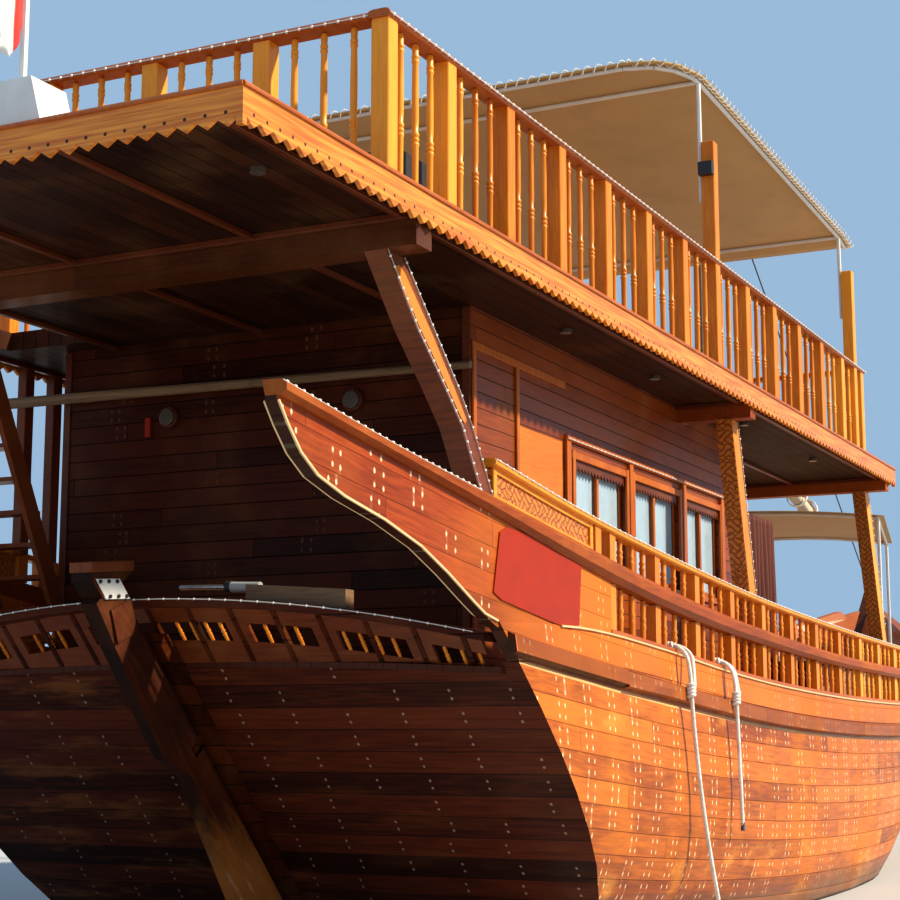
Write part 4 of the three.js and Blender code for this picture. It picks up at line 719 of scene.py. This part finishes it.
def side_path(sign, start, end, height, inboard=0.0, steps=40):
    """Points along a side; the port line runs aft so that outboard stays to its right."""
    xs = [start + (end - start) * i / steps for i in range(steps + 1)]
    line = [(x, sign * (half(x) - inboard), height(x)) for x in xs]
    return line if sign < 0 else line[::-1]


lower_rows = [(0, 0.001), (0, 0.017), (0.10, 0.0195), (0.30, 0.021), (0.34, 0.024), (0.40, 0.024),
              (0.44, 0.017), (0.50, 0.024), (0.56, 0.024), (0.60, 0.018), (0.80, 0.021), (1, 0.017),
              (1, 0.001)]


def carved_leaves():
    """Leaf work of curls that wander through each other, lighter on the leaves than between them."""
    finish = Finish("carved_leaves", Coat_Weight=0.25)
    x, y, z = finish.place()
    wander = finish.noise(finish.vector(x, y, z), 5, 2)
    run = x + y
    curl = abs((run * 44 + (z * 40).sine() * 1.7 + wander * 6).sine()
               * (z * 52 + (run * 42).sine() * 1.6).sine())
    leaf = finish.step(curl, 0.10, 0.42)
    grain = finish.grain((x, y, z), (60, 60, 8), 4)
    tone = finish.mix(leaf * 0.8 + grain * 0.3, (0.36, 0.085, 0.008, 1), (0.64, 0.215, 0.026, 1))
    return finish.wear(tone, 0.42, leaf + grain * 0.1, 0.014)


carved_wood = carved_leaves()
both_sides = (("stbd", -1), ("port", 1))
for side, sign in both_sides:
    slim_low, wide_low, slim_high, wide_high = [], [], [], []
    n = 0
    while tier_start + 0.06 + 0.225 * n < tier_end - 0.06:
        x = tier_start + 0.06 + 0.225 * n
        y = sign * (half(x) - 0.045)
        low, high = top_edge(x) + 0.02, heavy_rail(x) - rail_depth(x) - 0.001
        (slim_low if n % 4 else wide_low).append((x, y, low, high - low))
        if x < hand_end:
            low, high = heavy_rail(x) + 0.001, hand_rail(x) - 0.03
            (slim_high if n % 4 else wide_high).append((x, y, low, high - low))
        n += 1
    for tier, slim, wide, node in (("lower", slim_low, wide_low, "lower_balusters_"),
                                   ("upper", slim_high, wide_high, "hand_rail_")):
        if tier == "upper":
            x = -7.20
            wide.append((x, sign * (half(x) - 0.045), heavy_rail(x), hand_rail(x) - heavy_rail(x) - 0.03))
        post = board("post", (-0.055, 0.055), (-0.039, 0.039), (0, 1), 0)
        grow = lambda p: Matrix.Translation(p[:3]) @ Matrix.Diagonal((1, 1, p[3], 1))
        main = put_on(repeat(f"{tier}_posts_{side}", post, [grow(p) for p in wide]), post_varnish)
        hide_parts(node + side)
        put_on(repeat(f"{tier}_balusters_{side}", turned("baluster", lower_rows), [grow(p) for p in slim]),
               post_varnish)
    foot = moulding(f"foot_strip_{side}", side_path(sign, tier_start, tier_end, top_edge, 0.005),
                    [(0.012, 0.001), (0.012, 0.026), (0.004, 0.031), (-0.104, 0.031), (-0.104, 0.001)])
    put_on(foot, cap_finish)
    under_cap = side_path(sign, hand_start, hand_end, lambda x: hand_rail(x) - 0.05)
    cap = moulding(f"hand_rail_cap_{side}", under_cap,
                   [(0.004, 0), (0.018, 0.010), (0.020, 0.030), (0.008, 0.046), (-0.015, 0.050),
                    (-0.075, 0.050), (-0.096, 0.040), (-0.096, 0.010), (-0.085, 0)])
    put_on(cap, rail_varnish)
    string = side_path(sign, hand_start, hand_end, lambda x: hand_rail(x) - 0.012, -0.024)
    lamp_string(f"hand_rail_lights_{side}", string, 0.10, 0.009)
    on_rail = side_path(sign, -8.86, -7.28, lambda x: heavy_rail(x) + 0.001, 0.03, 8)
    under_hand_rail = side_path(sign, -8.86, -7.28, lambda x: hand_rail(x) - 0.082, 0.03, 8)
    panel = moulding(f"carved_panel_{side}", on_rail, [(0, 0), (0, 0.24), (-0.03, 0.24), (-0.03, 0)],
                     smooth=False)
    for corner in panel.data.vertices:
        if corner.co.z > heavy_rail(corner.co.x) + 0.1:
            corner.co.z = hand_rail(corner.co.x) - 0.04
    put_on(panel, carved_wood)
    frames = [moulding("frame", line, [(0, 0), (0.014, 0), (0.014, 0.035), (0, 0.035)])
              for line in (on_rail, under_hand_rail)]
    for x in (-8.84, -7.30):
        y = sign * (half(x) - 0.022)
        frames.append(board("frame", (x - 0.025, x + 0.025), (y - 0.008, y + 0.008),
                            (heavy_rail(x), hand_rail(x) - 0.03), 0.002))
    put_on(joined(f"carved_panel_frame_{side}", frames), rail_varnish)
    if side == "port":
        for i, x in enumerate((-7.30, -6.93)):
            foot = hand_rail(x) - 0.04
            post = board(f"port_post_{i}", (x - 0.055, x + 0.055), (2.47, 2.56), (foot, 4.6997))
            # The port posts take the darker timber as painted shade.
            put_on(post, stern_timber)

# The wing boards, wale and top edge of the hull are edged with thin pale trim strips; a lamp string runs
# along the top of each wing. Blank dark red patches mark where the name boards sit.
trim = plain("pale_trim", (0.72, 0.50, 0.26), 0.5)
wing_edge = [(-11.42, 3.290), (-11.33, 3.180), (-11.20, 3.050), (-11.03, 2.950), (-10.75, 2.872),
             (-10.31, 2.792), (-9.88, 2.684), (-9.54, 2.556), (-9.20, 2.410), (-9.04, 2.345), (-8.86, 2.311)]
patch_paint = plain("dark_red_paint", (0.36, 0.030, 0.006), 0.4, Specular_IOR_Level=0.25)


def on_wing(name, outline, sign, proud, thick):
    """A flat shape laid on the outboard face of a side: outline is (x, z) pairs."""
    return lofted(name, [[(x, sign * (half(x) + reach), z) for x, z in outline]
                         for reach in (proud, proud - thick)])


def band(points, width):
    """The outline of a strip that follows points at an even width."""
    outer, inner = [], []
    for i, (x, z) in enumerate(points):
        a, b = points[max(i - 1, 0)], points[min(i + 1, len(points) - 1)]
        run = math.hypot(b[0] - a[0], b[1] - a[1])
        nx, nz = -(b[1] - a[1]) / run, (b[0] - a[0]) / run
        outer.append((x, z))
        inner.append((x + nx * width, z + nz * width))
    return outer, inner


for side, sign in both_sides:
    outer, inner = band(wing_edge, 0.013)
    strips = [lofted("strip", [[(x, sign * (half(x) + reach), z)
                                for (x, z), reach in ((low, near), (high, near), (high, far), (low, far))]
                               for low, high in zip(outer, inner)])
              for near, far in ((0.003, 0.014), (-0.081, -0.0703))]
    put_on(joined(f"wing_trim_{side}", strips), trim)
    top_trim = moulding(f"top_edge_trim_{side}",
                        side_path(sign, -7.9, 9.2, lambda x: top_edge(x) - 0.018, -0.004, 60),
                        [(0.002, 0), (0.016, 0.002), (0.016, 0.014), (0.002, 0.018)])
    put_on(top_trim, trim)
    string = side_path(sign, -11.41, -9.12, lambda x: heavy_rail(x) - 0.004, -0.030, 14)
    lamp_string(f"wing_lights_{side}", string, 0.08, 0.012)
    outline = [(-8.826, 2.878), (-8.719, 2.921), (-7.637, 2.854), (-7.548, 2.778), (-7.597, 2.360),
               (-7.741, 2.318), (-8.801, 2.450), (-8.920, 2.492)]
    put_on(on_wing(f"name_patch_{side}", outline, sign, 0.010, 0.008), patch_paint)

# The deckhouse: its side walls are boarded, and each wall has three windows of two sliding panes in varnished
# frames, with a toothed dark board inside each window's head and a pale moulding with lamps above them.
def plate(name, outline, low, high, bevel=0.0):
    """A flat board cut to an outline of (x, z) pairs, between two places across the boat."""
    return eased(lofted(name, [[(a, reach, b) for a, b in outline] for reach in (low, high)]), bevel)


casing = solid_wood("window_casing", (0.34, 0.075, 0.006), (0.68, 0.21, 0.022), upright)
dark_trim = solid_wood("dark_trim", (0.060, 0.012, 0.004), (0.17, 0.040, 0.012), lengthwise)
panel_varnish = solid_wood("panel_varnish", (0.42, 0.10, 0.008), (0.66, 0.21, 0.022), lengthwise)
windows = [(-5.77, -4.48), (-4.40, -3.07), (-3.01, -1.85)]
wall_face, sill_level, head_level = 1.8305, 2.95, 3.83
for side, sign in both_sides:
    span = lambda a, b: tuple(sorted((sign * a, sign * b)))
    frames, teeth = [], []
    for start, end in windows:
        low, high = sill_level, head_level
        for x in (start + 0.005, end - 0.065):
            frames.append(board("frame", (x, x + 0.06), span(1.832, 1.856), (low - 0.06, high + 0.075)))
        for z in (low - 0.06, high + 0.005):
            frames.append(board("frame", (start, end), span(1.830, 1.852), (z, z + 0.06)))
        middle = (start + end) / 2
        for x0, x1 in ((start + 0.045, middle + 0.02), (middle - 0.02, end - 0.045)):
            deep = (1.790, 1.812) if x0 < middle - 0.1 else (1.776, 1.788)
            for x in (x0, x1 - 0.045):
                frames.append(board("sash", (x, x + 0.045), span(*deep), (low, high), 0.002))
            for z in (low, high - 0.05):
                frames.append(board("sash", (x0 + 0.045, x1 - 0.045), span(*deep), (z, z + 0.05), 0.002))
        inside = end - start - 0.08
        count = round(inside / 0.07)
        outline = [(start + 0.04, high)]
        for k in range(count):
            tooth = start + 0.04 + inside / count * k
            outline += [(tooth, high - 0.045), (tooth + inside / count / 2, high - 0.085)]
        outline += [(end - 0.04, high - 0.045), (end - 0.04, high)]
        teeth.append(plate("valance", outline, *span(1.815, 1.828)))
    for x in (-5.86, -4.475, -3.065, -1.845):
        frames.append(board("stile", (x - 0.045, x + 0.045) if x < -5 or x > -2 else (x + 0.002, x + 0.088),
                            span(wall_face, 1.862), (2.05, 3.96)))
    put_on(joined(f"window_frames_{side}", frames), casing)
    put_on(joined(f"window_valances_{side}", teeth), dark_trim)
    top = [(x, sign * wall_face, 3.965) for x in ((-5.9, -1.0) if sign < 0 else (-1.0, -5.9))]
    lintel = moulding(f"house_moulding_{side}", top,
                      [(0, 0), (0.02, 0.004), (0.034, 0.02), (0.034, 0.036), (0, 0.05)])
    put_on(lintel, casing)
    string = [Vector(p) + Vector((0, sign * 0.040, 0.012)) for p in top]
    lamp_string(f"house_lights_{side}", string, 0.085, 0.009)
    panel = board(f"house_panel_{side}", (-6.86, -5.96), span(wall_face, 1.842), (2.9, 3.94), 0.003)
    put_on(panel, panel_varnish)
    strips = [board("strip", (x, x + 0.05), span(wall_face, 1.852), (2.10, 4.40)) for x in (-7.62, -6.86)]
    strips.append(board("strip", (-7.62, -5.90), span(wall_face, 1.850), (4.38, 4.44)))
    put_on(joined(f"house_strips_{side}", strips), casing)

# The aft wall carries two round lamps and a small red fire alarm; dark corner boards close its edges.
pale_glass = plain("lamp_glass", (0.11, 0.085, 0.07), 0.25, Coat_Weight=0.5)
aft_face, lamp_level = -7.6305, 4.076
lamps, rims = [], []
for y in (0.79, -0.865):
    for radius, depth, group in ((0.085, 0.035, rims), (0.066, 0.060, lamps)):
        disc = cylinder(28, radius, depth, (aft_face - depth / 2, y, lamp_level), (0, math.pi / 2, 0))
        group.append(eased(disc, 0.006, 2))
put_on(joined("wall_lamp_rims", rims), dark_trim)
put_on(joined("wall_lamps", lamps), pale_glass)
alarm = board("wall_alarm", (-7.66, aft_face), (0.965, 1.015), (3.93, 4.09), 0.006)
put_on(alarm, patch_paint)
edges = [board("corner", (-7.645, aft_face), (s * 1.83, s * 1.765), (2.06, 4.69)) for s in (-1, 1)]
put_on(joined("aft_wall_corners", edges), dark_trim)

# Under the sun deck run slim battens, and small lamps hang between them. A lamp cable follows the aft beam.
battens = [board("batten", (-11.79, 2.76), (y - 0.022, y + 0.022), (4.668, 4.6995), 0.003)
           for y in (-2.45, -1.40, -0.03, 1.34, 2.45)]
for x in (-9.75, -3.0, 2.55):
    battens += [board("batten", (x - 0.16, x - 0.12), (-2.5, 2.5), (4.662, 4.6995), 0.003)]
put_on(joined("deck_battens", battens), dark_trim)
spots = [cylinder(18, 0.045, 0.03, (x, y, 4.684)) for x in (-11.0, -9.2, -6.6, -4.6, -2.0, 0.6)
         for y in (-2.15, 0.65)]
put_on(joined("deck_spots", spots), pale_glass)
lamp_string("beam_lights", [(-9.862, 2.5, 4.682), (-9.862, -2.5, 4.682)], 0.35, 0.008)

# The stern struts lean from the heavy rails up to the aft beam. Their outboard faces have a sunk varnished
# panel with a round head, and lamp strings run up both edges.
strut_fore = [(-8.92, 3.09), (-9.03, 3.50), (-9.13, 3.74), (-9.33, 4.06), (-9.60, 4.509)]
strut_aft = [(-9.11, 3.11), (-9.21, 3.50), (-9.37, 3.74), (-9.61, 4.06), (-9.84, 4.509)]
for side, sign in both_sides:
    reach = lambda z, proud: sign * (2.525 - 0.275 * (z - 3.10) / 1.409 + 0.075 + proud)
    outline = [(-9.115, 3.56), (-9.21, 3.74), (-9.40, 4.06), (-9.64, 4.40), (-9.70, 4.44), (-9.77, 4.41),
               (-9.57, 4.08), (-9.33, 3.76), (-9.19, 3.56), (-9.15, 3.53)]
    face = plate(f"strut_panel_{side}", outline, 0, 0.006)
    for corner in face.data.vertices:
        corner.co.y = reach(corner.co.z, 0.0003 + (0.006 if corner.co.y > 0.003 else 0))
    put_on(faces_out(face), casing)
    for edge, line, lift in (("fore", strut_fore, -0.012), ("aft", strut_aft, 0.012)):
        string = [Vector((x + lift, reach(z, 0.010), z)) for x, z in line]
        lamp_string(f"strut_lights_{edge}_{side}", string, 0.07, 0.010)

# The carved posts have leaf work on their faces and a lamp string up one edge.
dress(["carved_post_mid_stbd", "carved_post_mid_port", "carved_post_fore_stbd", "carved_post_fore_port"],
      carved_wood)
post_top = 4.549
for place, x, head, foot, low in (("mid", -3.0, 2.282, 2.495, 1.90), ("fore", 2.55, 2.21, 2.435, 1.86)):
    for side, sign in both_sides:
        out = lambda z: sign * (foot + (head - foot) * (z - low) / (post_top - low) + 0.075)
        face = board(f"post_face_{place}_{side}", (x - 0.092, x + 0.092), (0, 0.004),
                     (low + 0.02, post_top - 0.01), 0)
        for corner in face.data.vertices:
            corner.co.y = out(corner.co.z) + sign * (0.0003 + corner.co.y)
        put_on(faces_out(face), post_varnish)
        string = [Vector((x + 0.094, out(z) + sign * 0.012, z)) for z in (2.90, 4.54)]
        lamp_string(f"post_lights_{place}_{side}", string, 0.09, 0.010)

# Stern gear: the taffrail has a lamp string along its top, the rudder head a weathered cap and a white steel
# plate with bolts, and the steering ram lies beside it: a grey cylinder with a black collar and a bright rod.
taff_top = lambda y: 2.53 - 0.278 * (y / 2.5) ** 2
raked = lambda z: -8.85 + (2.32 - z) * math.tan(math.radians(44)) + 0.05
taff_places = [-2.44 + 4.88 * k / 24 for k in range(25)]
string = [Vector((raked(taff_top(y)) - 0.128, y, taff_top(y) - 0.012)) for y in taff_places]
lamp_string("taffrail_lights", string, 0.12, 0.009)


def raked_board(low, high, start=-2.42, end=2.42, steps=24, thick=0.03):
    """A board that fills part of the taffrail between two heights."""
    edges = ((low, -thick / 2), (low, thick / 2), (high, thick / 2), (high, -thick / 2))
    places = [start + (end - start) * k / steps for k in range(steps + 1)]
    return lofted("board", [[(raked(edge(y)) + reach, y, edge(y)) for edge, reach in edges] for y in places])


taff_posts = (-1.97, -1.31, -0.66, 0.66, 1.31, 1.97)
bands = [raked_board(lambda y: taff_top(y) - 0.150, lambda y: taff_top(y) - 0.055),
         raked_board(lambda y: 2.06 + 0.05 * (1 - (y / 2.5) ** 2), lambda y: taff_top(y) - 0.270)]
bands += [raked_board(lambda y: taff_top(y) - 0.275, lambda y: taff_top(y) - 0.145, y - 0.085, y + 0.085, 2,
                      0.034) for y in taff_posts]
put_on(joined("taffrail_boards", bands), stern_timber)
lean = Matrix.Rotation(math.radians(-44), 4, "Y") @ Matrix.Diagonal((0.62, 0.62, 0.172, 1))
small = [Matrix.Translation((raked(taff_top(y) - 0.272), y, taff_top(y) - 0.272)) @ lean
         for y in (-2.36 + 4.72 * k / 41 for k in range(42)) if clear_of(y, (*taff_posts, 0), 0.11)]
put_on(repeat("taffrail_balusters", turned("baluster", lower_rows, 8), small), post_varnish)


def rudder_shade(finish, colour, rough, place):
    """The rudder's aft faces are painted black as painted shade, with old oil in patches, and it is worn
    bright near the water.
    """
    x, y, z = place
    # Faces turned aft are painted black: painted shade.
    back = finish.step(finish.place("Normal")[0], -0.2, -0.5)
    oil = finish.grain((x, y, z), (2, 2, 2), 4)
    shade_and_oil = finish.clamp(back * 0.75 + finish.step(oil, 0.45, 0.7) * 0.5)
    colour = finish.mix(shade_and_oil, colour, (0.018, 0.007, 0.004, 1))
    grain = finish.noise(finish.vector(x * 14 + z * 14, y * 9, x * 2 - z * 2), 1, 5, 0.65)
    worn = finish.step(z + grain * 0.8, 1.55, 0.9)
    colour = finish.mix(worn * 0.8, colour, (0.48, 0.17, 0.035, 1))
    pale = worn * finish.step(grain, 0.52, 0.68)
    return finish.mix(pale * 0.6, colour, (0.62, 0.42, 0.27, 1)), rough + worn * 0.2


along_rudder = lambda x, y, z: (x * 0.695 - z * 0.719, x * 0.719 + z * 0.695, y)
dress(["rudder"], solid_wood("rudder_timber", (0.045, 0.009, 0.003), (0.17, 0.038, 0.011), along_rudder,
                             gloss=0.5, shade=rudder_shade, Coat_Weight=0.06, Specular_IOR_Level=0.15))
cap = plate("rudder_head_cap", [(-9.235, 2.705), (-9.232, 2.775), (-9.70, 2.725), (-9.70, 2.655)], -0.092,
            0.092, bevel=0.006)
put_on(cap, stern_timber, "rudder")
steel = plate("rudder_plate", [(-9.385, 2.640), (-9.262, 2.512), (-9.525, 2.490), (-9.648, 2.618)], -0.0865,
              -0.0735, bevel=0.003)
put_on(steel, white_steel, "rudder")
bolt_places = ((-9.42, 2.617), (-9.51, 2.610), (-9.60, 2.602), (-9.31, 2.528), (-9.40, 2.520), (-9.49, 2.512))
bolts = repeat("rudder_bolts", cylinder(6, 0.013, 0.014, rotation=(math.pi / 2, 0, 0)),
               [(x, -0.092, z) for x, z in bolt_places])
put_on(bolts, dark_metal, "rudder")


def rod(name, radius, start, end, sides=20):
    """A round bar between two points."""
    start, end = Vector(start), Vector(end)
    piece = cylinder(sides, radius, (end - start).length)
    piece.name = name
    turn = (end - start).to_track_quat("Z", "Y").to_matrix().to_4x4()
    piece.data.transform(Matrix.Translation((start + end) / 2) @ turn)
    pick(piece)
    bpy.ops.object.shade_smooth_by_angle(angle=math.radians(40))
    return piece


bright = plain("bright_steel", (0.62, 0.62, 0.62), 0.25, Metallic=0.8)
grey_paint = plain("grey_paint", (0.42, 0.43, 0.43), 0.4)
put_on(rod("ram_rod", 0.0175, (-8.88, -0.22, 2.61), (-8.88, -0.615, 2.6)), bright)
put_on(rod("ram_cylinder", 0.0365, (-8.88, -0.612, 2.600), (-8.88, -0.865, 2.590)), grey_paint)
put_on(rod("ram_collar", 0.0420, (-8.88, -0.600, 2.601), (-8.88, -0.640, 2.5995)), dark_metal)

# The canopy is one sheet of tan canvas, laced at its edges to a frame of white pipe that stands on the tall
# rail posts. It sags a little between the pipes and droops over the fore one.
def cloth(name, width, length, place, thick=0.003):
    """A sheet from a grid: place(u, v) gives the point at shares u of the width and v of the length."""
    verts = [place(i / width, j / length) for j in range(length + 1) for i in range(width + 1)]
    row = width + 1
    faces = [(j * row + i, j * row + i + 1, (j + 1) * row + i + 1, (j + 1) * row + i)
             for j in range(length) for i in range(width)]
    piece = new_mesh(name, verts, faces, True)
    pick(piece)
    solid = piece.modifiers.new("thickness", "SOLIDIFY")
    solid.thickness = thick
    solid.offset = 0
    bpy.ops.object.modifier_apply(modifier="thickness")
    return piece


def woven(name, colour, rough=0.9, glow=0.0, fold=0.0):
    finish = Finish(name, Sheen_Weight=0.2)
    x, y, z = finish.place()
    threads = finish.grain((x, y, z), (260, 260, 260), 2)
    cloud = finish.noise(finish.vector(x, y, z), 0.9, 4)
    dirt = finish.step(finish.noise(finish.vector(x, y, z), 3, 5), 0.45, 0.75)
    shade = finish.mix(cloud * 0.6 + threads * 0.3, (*[c * 0.72 for c in colour], 1),
                       (*[min(1, c * 1.15) for c in colour], 1))
    shade = finish.mix(dirt * 0.25, shade, (*[c * 0.6 for c in colour], 1))
    # glow feeds emission: painted light, standing in for the sun shining through the canvas.
    if glow:
        finish.shader.inputs["Emission Strength"].default_value = glow
        finish.wear(Emission_Color=shade)
    return finish.wear(shade, rough - threads * 0.1, threads * 0.5 + cloud * 0.5, 0.002)


canvas_rows = [(-4.65, 1.95, 7.600), (-4.56, 2.21, 7.600), (-4.40, 2.35, 7.600), (-4.10, 2.44, 7.600),
               (-3.98, 2.45, 7.600), (1.12, 2.45, 7.435), (1.48, 2.45, 7.375)]


def canvas_at(x, k):
    i = max(n for n in range(len(canvas_rows) - 1) if n == 0 or canvas_rows[n][0] <= x)
    a, b = canvas_rows[i], canvas_rows[i + 1]
    return a[k] + (b[k] - a[k]) * (x - a[0]) / (b[0] - a[0])


def canopy_place(u, v):
    x = -4.65 + 6.13 * (v if v > 0.12 else 0.12 * (v / 0.12) ** 1.7)
    out = (2 * u - 1) * canvas_at(x, 1)
    sag = 0
    if -3.98 < x < 1.12:
        sag = 0.045 * math.sin(math.pi * (x + 3.98) / 5.1) * (1 - (2 * u - 1) ** 4)
    ripple = 0.006 * math.sin(out * 7 + x * 1.3) * (1 - abs(2 * u - 1) ** 6)
    return x, out, canvas_at(x, 2) - 0.032 - sag + ripple * (abs(x + 1.4) < 2.4)


# The canvas glows faintly: painted light through the sheet.
canvas = woven("canopy_canvas", (0.54, 0.33, 0.115), glow=0.03)
canopy = put_on(cloth("canopy_sheet", 44, 70, canopy_place), canvas)
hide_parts("canopy")
border = [(x, -h, z - 0.030) for x, h, z in canvas_rows[::-1]]
border += [(x, h, z - 0.030) for x, h, z in canvas_rows]
hem = put_on(moulding("canopy_hem", border, round_section(0.014, 8)), canvas)
lace_line = []
for a, b in zip(border, border[1:]):
    a, b = Vector(a), Vector(b)
    along = (b - a).normalized()
    out = Vector((along.y, -along.x, 0))
    turns = max(2, round((b - a).length / 0.11 * 10))
    for k in range(turns):
        angle = 2 * math.pi * k / 10
        lace_line.append(a.lerp(b, k / turns) + out * (-0.022 + 0.034 * math.cos(angle))
                         + Vector((0, 0, -0.010 + 0.034 * math.sin(angle))))
lacing = fibre(moulding("canopy_lacing", lace_line, round_section(0.006, 5)))

# A second awning of the same canvas shades the fore deck.
fore_half = lambda x: 2.25 - 0.65 * (x - 3.62) / 3.38


def fore_place(u, v):
    x = 3.62 + 3.38 * v
    across = 2 * u - 1
    sag = 0.035 * math.sin(math.pi * v) * (1 - across ** 4)
    return x, across * fore_half(x), 4.38 + 0.16 * (1 - across ** 2) + 0.001 - sag * (0.05 < v < 0.95)


fore_awning = put_on(cloth("fore_awning_sheet", 32, 36, fore_place), canvas)
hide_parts("fore_awning")

# Dark red curtains hang at both sides of the entrance, gathered on the fore corners of the deckhouse.
curtain_cloth = woven("curtain_cloth", (0.12, 0.018, 0.007))
for side, sign in both_sides:
    def curtain_place(u, v, sign=sign):
        sway = 0.5 + 0.5 * v
        fold = 0.034 * sway * math.sin(2 * math.pi * 9 * u) + 0.006 * math.sin(17 * u + 5 * v)
        return -0.998 + 1.25 * u, sign * (1.78 + fold), 3.955 - 1.55 * v
    curtain = put_on(cloth(f"curtain_sheet_{side}", 144, 24, curtain_place, 0.002), curtain_cloth)
    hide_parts(f"curtain_{side}")

# A flag in red, white and green bands hangs in folds from its staff at the aft edge of the sun deck.
staff_x, flag_width = -11.585, 0.385


def flag_place(u, v):
    drop = (1.62 + 0.22 * math.sin(math.pi * min(1, u * 1.3))) * v
    fold = 0.026 * math.sin(2 * math.pi * 4 * u + 1.2 * v) * (0.4 + 0.6 * u)
    return staff_x - flag_width * u * (1 - 0.15 * v), -0.96 + fold, 7.14 - drop - 0.10 * u * (1 - v)


def flag_bands(red=(0.60, 0.06, 0.05, 1), white=(0.80, 0.79, 0.76, 1), green=(0.010, 0.30, 0.12, 1)):
    finish = Finish("flag_cloth", Roughness=0.85)
    x, y, z = finish.place()
    fly = (staff_x - x) / flag_width + finish.grain((x, y, z), (3, 3, 1.5), 2) * 0.06
    tint = finish.mix(finish.step(fly, 0.21, 0.23), red, white)
    tint = finish.mix(finish.step(fly, 0.60, 0.62), tint, red)
    tint = finish.mix(finish.step(fly, 0.74, 0.76), tint, green)
    return finish.wear(tint, 0.85, finish.grain((x, y, z), (300, 300, 300), 2), 0.001)


flag = put_on(cloth("flag_sheet", 64, 40, flag_place, 0.002), flag_bands())
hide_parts("flag")

# The sail is rolled along the yard and held under it by lashings.
sail_heel, sail_along = Vector((3.62, 0, 6.38)), Vector((0.97166, 0, -0.23653))
sail_under, sail_side = Vector((-0.23653, 0, -0.97166)), Vector((0, 1, 0))
sail_start, sail_length = 0.45, 5.2
roll_radius = lambda share: 0.15 - 0.06 * share


def roll_centre(share, drop):
    """A place under the yard, at a share of the sail's length."""
    return sail_heel + sail_along * (sail_start + sail_length * share) + sail_under * (0.049 + drop)


def sail_place(u, v):
    squeeze = 1 - 0.10 * (math.sin(math.pi * 8 * v) ** 2 < 0.06)
    angle = 2 * math.pi * 2.6 * u
    reach = roll_radius(v) * (0.30 + 0.66 * u) * squeeze * (1 + 0.03 * math.sin(5 * angle + 9 * v))
    turn = math.cos(angle) * sail_side + math.sin(angle) * sail_under
    return roll_centre(v, roll_radius(v)) + reach * turn


sail = put_on(cloth("furled_sail_roll", 72, 96, sail_place, 0.004),
              woven("sail_canvas", (0.60, 0.52, 0.38)), "yard")
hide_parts("furled_sail")
for k in range(9):
    share = k / 8 * 0.96 + 0.02
    centre = roll_centre(share, roll_radius(share) - 0.045)
    tie = lashing(f"sail_tie_{k}", centre, sail_along, roll_radius(share) + 0.055, 0.009, 3)
    fibre(tie, "yard")

# The floor is at the waterline. A low sun from forward of the starboard beam lights the outboard faces, and
# the stern stands in its shade. A pale sky fills in.
bpy.ops.mesh.primitive_plane_add(size=400, location=(0, 0, 0))
floor = bpy.context.object
floor.name = "floor"
pale_floor = Finish("floor_pale", Base_Color=(0.46, 0.46, 0.46, 1), Roughness=0.9)
floor.data.materials.append(pale_floor.material)
bpy.ops.object.light_add(type="SUN", location=(5, -15, 12))
sun = bpy.context.object
sun.data.energy = 5.6
sun.data.angle = math.radians(2.5)
sun.data.color = (1.0, 0.88, 0.68)
sun.rotation_euler = Vector((0.35, -1.0, 0.85)).to_track_quat("Z", "Y").to_euler()
sky = bpy.data.worlds.new("sky")
sky.use_nodes = True
sky.node_tree.nodes["Background"].inputs["Color"].default_value = (0.50, 0.73, 1.0, 1)
sky.node_tree.nodes["Background"].inputs["Strength"].default_value = 0.60
bpy.context.scene.world = sky
bpy.context.scene.view_settings.view_transform = "Standard"
bpy.context.scene.view_settings.look = "Medium High Contrast"
